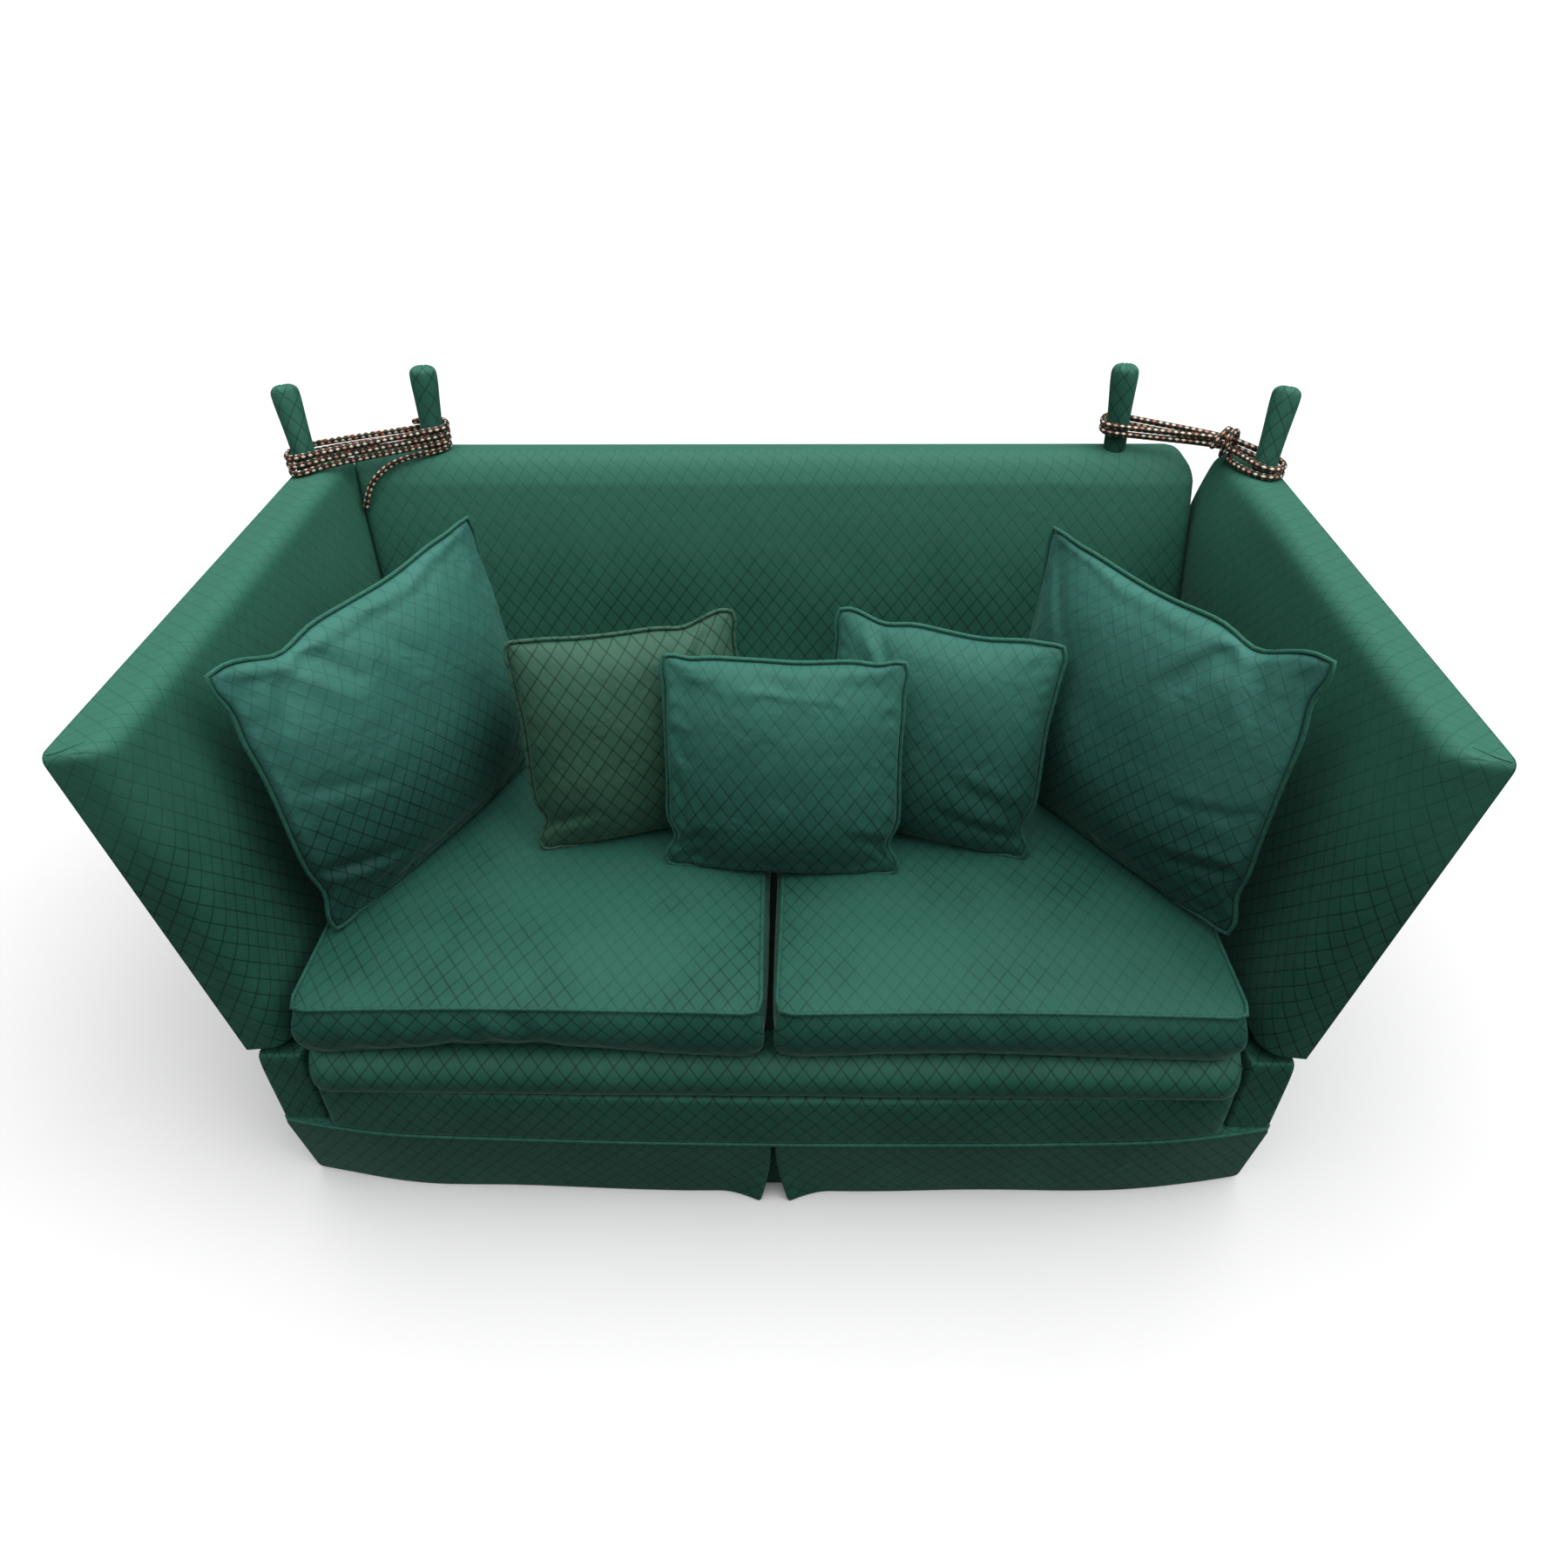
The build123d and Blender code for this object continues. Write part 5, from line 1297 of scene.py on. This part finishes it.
def make_seat_cushion(side, left, width):
    """Box cushion: crowned top, soft boxing between two piped seams."""
    front, rear = -0.495, 0.2776
    deep = rear - front
    middle_x, middle_y = left + width / 2, (front + rear) / 2
    tall = SEAT_HIGH - SEAT_LOW
    z_cuts = (0.05, 0.14, 0.3, 0.5, 0.7, 0.86, 0.95)
    piece = block(f"{side}_seat_cushion_cover", even(40, 0.008), even(26, 0.008), z_cuts)
    lay_round(piece, plain(width), plain(tall), deep, deep)
    mark_seam(piece)
    wave = 1.0 if side == "left" else 0.3
    high_spot = -0.42 if side == "left" else 0.30

    body = f"{side}_seat_cushion_body"

    def top_seam(x, y):
        return 0.505 + 0.0015 * rough(x * 7, y * 7, 0.0)

    def low_edge(x, y):
        """How the lower front edge lifts off the roll and puckers."""
        near = max(0.0, 1 - (y - front) / 0.12)
        lift = hump(x - high_spot, 0.19)
        return wave * near * lift * (0.026 + 0.0026 * sin(x * 47) + 0.0018 * sin(x * 83))

    def place(x, y, z):
        u, v = 2 * x - 1, 2 * y - 1
        inside = min((1 - abs(u)) * width, (1 - abs(v)) * deep) / 2
        px, py = seat_outline(u, v, width, deep, 0.0)
        pucker = rough(x * 30 + 3 + z * 4, y * 30, z * 2) * (1 - z) * 0.006 * wave
        lean = hump(x - 0.42, 0.26) * sin(pi * z) ** 0.7
        pucker += 0.0070 * wave * lean * sin(x * 82 + z * 5 + 2 * sin(x * 21)) * (v < 0)
        bulge = 0.0110 * sin(pi * z) ** 0.7 - 0.003 + pucker
        if v < -0.9999:
            bulge += 0.008 * sin(pi * z**0.75)
        if inside < 1e-6:
            if abs(v) > 0.9999:
                py += copysign(bulge, v)
            if abs(u) > 0.9999:
                px += copysign(bulge, u)
        px, py = px + middle_x, py + middle_y
        crown = (SEAT_HIGH - 0.5045) * (1 - exp(-inside / 0.05))
        sit = 0.004 * exp(-(((px - middle_x) / 0.2) ** 2) - ((py + 0.15) / 0.2) ** 2)
        rumple = 0.0022 * rough(px * 6, py * 6, 2.0) * min(inside / 0.05, 1)
        top = top_seam(px, py) + crown - sit * min(inside / 0.1, 1) + rumple - 0.001
        bottom = SEAT_LOW + 0.006 * exp(-inside / 0.012) + low_edge(px, py)
        if z < 0.0001:
            return px, py, bottom
        return px, py, bottom + z * (top - bottom)

    shape(piece, place)
    swell(piece, 1.2, 0.006)
    for point in piece.data.vertices:
        point.co.z = max(point.co.z, SEAT_LOW + 0.0003)
    finish_mesh(piece)
    dress(piece, body, (f"{side}_seat_cushion",), 0.7, seat_cloth, "cushions")
    for name, inset, level in (
        ("top", -0.0012, top_seam),
        ("lower", 0.003, lambda x, y: SEAT_LOW + 0.0062 + low_edge(x, y)),
    ):
        points = []
        for u, v in round_square(28):
            x, y = seat_outline(u, v, width, deep, inset)
            x, y = x + middle_x, y + middle_y
            points.append((x, y, level(x, y)))
        cord = piping(f"{side}_seat_{name}_piping", points, True)
        dress(cord, body, material=piping_cloth, slot="piping")


make_seat_cushion("left", -0.740, 0.725)
make_seat_cushion("right", 0.010, 0.715)

# Scatter cushions


def cushion_stand(x, y, z, turn, lean, roll):
    """The frame of a cushion that stands on the seat: x across, y up and z towards its front."""
    yaw, back, tip = (radians(a) for a in (turn, lean, roll))
    across = Vector((cos(yaw), sin(yaw), 0))
    up = Vector((-sin(yaw) * sin(back), cos(yaw) * sin(back), cos(back)))
    out = across.cross(up)
    x_dir = across * cos(tip) + up * sin(tip)
    y_dir = out.cross(x_dir)
    return Matrix.Translation((x, y, z)) @ Matrix((x_dir, y_dir, out)).transposed().to_4x4()


def fullness(share, power=2.3):
    """How full a knife-edge cushion is at a share of the way from its middle to its seam."""
    return max(1 - abs(share) ** power, 0.0) ** 0.6


def fold(x, y, start, end, depth, width):
    """A soft crease from one point of a cushion's face to another, deepest at its start."""
    run_x, run_y = end[0] - start[0], end[1] - start[1]
    length = hypot(run_x, run_y)
    along = ((x - start[0]) * run_x + (y - start[1]) * run_y) / length**2
    aside = ((x - start[0]) * run_y - (y - start[1]) * run_x) / length
    if not -0.2 < along < 1:
        return 0.0
    fade = sin(pi * min(max((along + 0.2) / 1.2, 0.0), 1.0)) ** 0.8
    return depth * fade * (hump(aside, width) - 0.5 * hump(aside - 1.8 * width, width))


def make_scatter_cushion(name, stand, size, cloth, seed, sag, folds, dips):
    """Knife-edge cushion with drawn-in sides, eared corners, creases by them and a piped seam.

    Each dip of the top edge has its place from -1 to 1, its depth and its half width."""
    wide, tall, thick = size
    pinch = 0.011 if size == LARGE else 0.018

    def edge_place(u, v):
        x = wide / 2 * u * (1 - 0.060 * (1 - v**2) * abs(u) ** 3)
        y = tall / 2 * v * (1 - (sag if v > 0 else 0.02) * (1 - u**2) * abs(v) ** 3)
        if v < 0:
            x -= copysign(pinch * abs(u) ** 5 * hump(v + 0.68, 0.13), u)
            y += 0.007 * abs(v) ** 5 * hump(abs(u) - 0.80, 0.10)
        else:
            for spot, depth, reach in dips:
                y -= depth * abs(v) ** 5 * hump(u - spot, reach)
                if u * spot > 0:
                    x -= copysign(0.5 * depth * abs(u) ** 5 * hump(v - 0.70, 0.16), u)
        pull = 0.011 * max(abs(u) + abs(v) - 1.84, 0.0) / 0.16
        x -= copysign(pull, u)
        y -= copysign(pull, v)
        x += 0.005 * rough(v * 1.7, seed, u) * abs(u) ** 4 * (1 - v**2)
        y += 0.005 * rough(u * 1.7, seed + 5, v) * abs(v) ** 4 * (1 - u**2)
        return x, y

    def place(face, x, y):
        u, v = 2 * x - 1, 2 * y - 1
        px, py = edge_place(u, v)
        full = fullness(u) * fullness(v, 3.2 if v > 0 else 2.5)
        crease, flat = 0.0, 0.0
        for cu in (-1, 1):
            for cv in (-1, 1):
                reach = hypot(1 - cu * u, 1 - cv * v)
                flat += 0.45 * hump(reach, 0.34)
                if 0.02 < reach < 1.0:
                    bearing = atan2(1 - cv * v, 1 - cu * u) - pi / 4
                    ripple = cos(bearing * 6 + seed * 1.3 + cu + 2 * cv + face)
                    ripple *= 0.6 + rough(bearing * 2, reach * 3, seed + cu + 2 * cv)
                    crease += ripple * hump(reach - 0.30, 0.16)
        slack = rough(u * 1.5 + seed, v * 1.5, face * 3.0) * 0.085
        slack += rough(u * 4 + seed, v * 4, face * 5.0) * 0.020
        half = thick / 2 * full * (1 - flat) * (1 + slack + 0.07 * max(-v, 0.0) - 0.05 * max(v, 0.0))
        soft = min(full * 2.4, 1)
        near = (1 - max(abs(u), abs(v))) * wide / 2
        run = px if abs(v) > abs(u) else py
        pucker = 0.0015 * sin(run * 110 + 9 * rough(run * 9, seed, face))
        half += 0.0030 * crease * soft + pucker * hump(near - 0.018, 0.014) * soft
        if face > 0:
            half -= soft * sum(fold(u, v, *line) for line in folds)
        return px, py - 0.012 * full * max(v, 0.0), face * (0.0009 + max(half, 0.0) * 0.97)

    faces = []
    for face in (1, -1):
        side = cloth_cut(f"{name}_cover" if face == 1 else f"{name}_rear", 60, 60)
        lay_flat(side, wide, tall)
        mark_seam(side)
        shape(side, lambda x, y, _: place(face, x, y))
        faces.append(side)
    choose(*faces)
    bpy.ops.object.join()
    piece = bpy.context.object
    weld(piece, 0.0019)
    swell(piece, 1.5, 0.006)
    low = min((stand @ point.co).z for point in piece.data.vertices)
    rest = Matrix.Translation((0, 0, SEAT_HIGH + 0.0008 - low)) @ stand
    piece.data.transform(rest)
    finish_mesh(piece)
    dress(piece, f"{name}_body", (name,), 0.6, cloth, "cushions")

    points = []
    for u, v in round_square(30):
        x, y = edge_place(u, v)
        grow = 1 + 0.0022 / (wide / 2)
        points.append(rest @ Vector((x * grow, y * grow, 0)))
    cord = piping(f"{name}_piping", points, True, 0.0036)
    dress(cord, f"{name}_body", material=piping_cloth if cloth != faded_cloth else faded_cloth, slot="piping")


LARGE = (0.548, 0.508, 0.158)
SMALL = (0.394, 0.401, 0.128)
MIDDLE = (0.409, 0.394, 0.134)

# Each fold runs from one place on the front to another, from -1 to 1 each way, with its depth and half width
FOLDS = {
    "left_large": (
        ((-0.52, 1.00), (-0.28, 0.52), 0.013, 0.07),
        ((-0.60, 0.90), (-0.82, 0.44), 0.007, 0.06),
        ((-0.06, 0.86), (0.12, 0.36), 0.006, 0.07),
        ((-0.90, 0.10), (-0.30, -0.16), 0.004, 0.05),
        ((-1.00, -0.50), (-0.40, -0.70), 0.012, 0.05),
        ((-0.80, -0.92), (-0.44, -0.78), 0.005, 0.035),
    ),
    "right_large": (
        ((0.50, 1.00), (0.26, 0.44), 0.013, 0.07),
        ((0.66, 0.94), (0.76, 0.46), 0.008, 0.05),
        ((-0.90, 0.86), (-0.46, 0.30), 0.005, 0.05),
        ((0.92, -0.10), (0.40, -0.26), 0.004, 0.05),
        ((1.00, -0.50), (0.46, -0.66), 0.012, 0.05),
        ((0.84, -0.92), (0.50, -0.80), 0.005, 0.035),
    ),
    "left_small": (
        ((0.78, 1.00), (0.42, 0.46), 0.007, 0.07),
        ((-0.94, -0.72), (-0.40, -0.56), 0.006, 0.06),
    ),
    "right_small": (
        ((0.96, -0.80), (0.10, -0.60), 0.008, 0.06),
        ((0.86, -0.52), (0.05, -0.20), 0.005, 0.07),
        ((-0.60, 1.00), (-0.44, 0.60), 0.007, 0.06),
    ),
    "middle_small": (
        ((0.96, -0.70), (0.52, -0.54), 0.006, 0.06),
        ((-0.96, -0.74), (-0.58, -0.60), 0.005, 0.06),
    ),
}

LEFT_HORN = ((-0.56, 0.020, 0.17), (0.80, 0.006, 0.14))
RIGHT_HORN = ((0.56, 0.022, 0.17), (-0.80, 0.004, 0.14))
LEFT_NICK = ((-0.55, 0.010, 0.18), (0.82, 0.004, 0.12))
RIGHT_NICK = ((0.52, 0.011, 0.18), (-0.82, 0.004, 0.12))
EARS = ((-0.76, 0.008, 0.15), (0.76, 0.008, 0.15))

for name, stand, size, cloth, seed, sag, dips in (
    ("left_large", (-0.622, -0.097, 0.764, 62, 8, 1.2), LARGE, large_cloth, 1, 0.11, LEFT_HORN),
    ("right_large", (0.600, -0.110, 0.770, -56, 8, 2), LARGE, large_cloth, 2, 0.13, RIGHT_HORN),
    ("left_small", (-0.242, -0.054, 0.712, 16, 14, 0), SMALL, faded_cloth, 3, 0.11, RIGHT_NICK),
    ("right_small", (0.272, -0.058, 0.713, -16.4, 17.5, -1), SMALL, cushion_cloth, 4, 0.09, LEFT_NICK),
    ("middle_small", (0.014, -0.142, 0.705, -3, 16.5, 0), MIDDLE, cushion_cloth, 5, 0.08, EARS),
):
    make_scatter_cushion(f"{name}_cushion", cushion_stand(*stand), size, cloth, seed, sag, FOLDS[name], dips)

# Floor and light


def set_stage():
    """A pale floor, a dim surround and three soft suns."""
    scene = bpy.context.scene
    bpy.ops.mesh.primitive_plane_add(size=120, location=(0, 0, 0))
    floor = bpy.context.object
    floor.name = "floor"
    material, tree, shader = new_finish("pale_floor", Roughness=0.9)
    shader.inputs["Specular IOR Level"].default_value = 0.1
    speck = mottle(tree, 2.0, 2.0)
    tree.links.new(mixed(speck, (0.64, 0.64, 0.64), (0.66, 0.66, 0.66)), shader.inputs[0])
    floor.data.materials.append(material)
    floor.visible_diffuse = floor.visible_glossy = False

    scene.view_settings.view_transform = "Standard"
    scene.view_settings.gamma = 0.85
    scene.world = bpy.data.worlds.new("studio")
    scene.world.use_nodes = True
    surround = scene.world.node_tree.nodes["Background"].inputs
    surround[0].default_value = (1, 1, 1, 1)
    surround[1].default_value = 0.05

    for name, wide, energy, towards in (
        ("studio_dome", 96, 4.05, (-0.06, 0.04, -1)),
        ("studio_window", 50, 1.25, (-1.0, 0.30, -1.0)),
        ("studio_wall", 90, 0.5, (0.9, 0.75, -0.6)),
    ):
        lamp = bpy.data.lights.new(name, "SUN")
        lamp.angle = radians(wide)
        lamp.energy = energy
        hung = bpy.data.objects.new(name, lamp)
        hung.rotation_euler = Vector(towards).to_track_quat("-Z", "Y").to_euler()
        scene.collection.objects.link(hung)


set_stage()
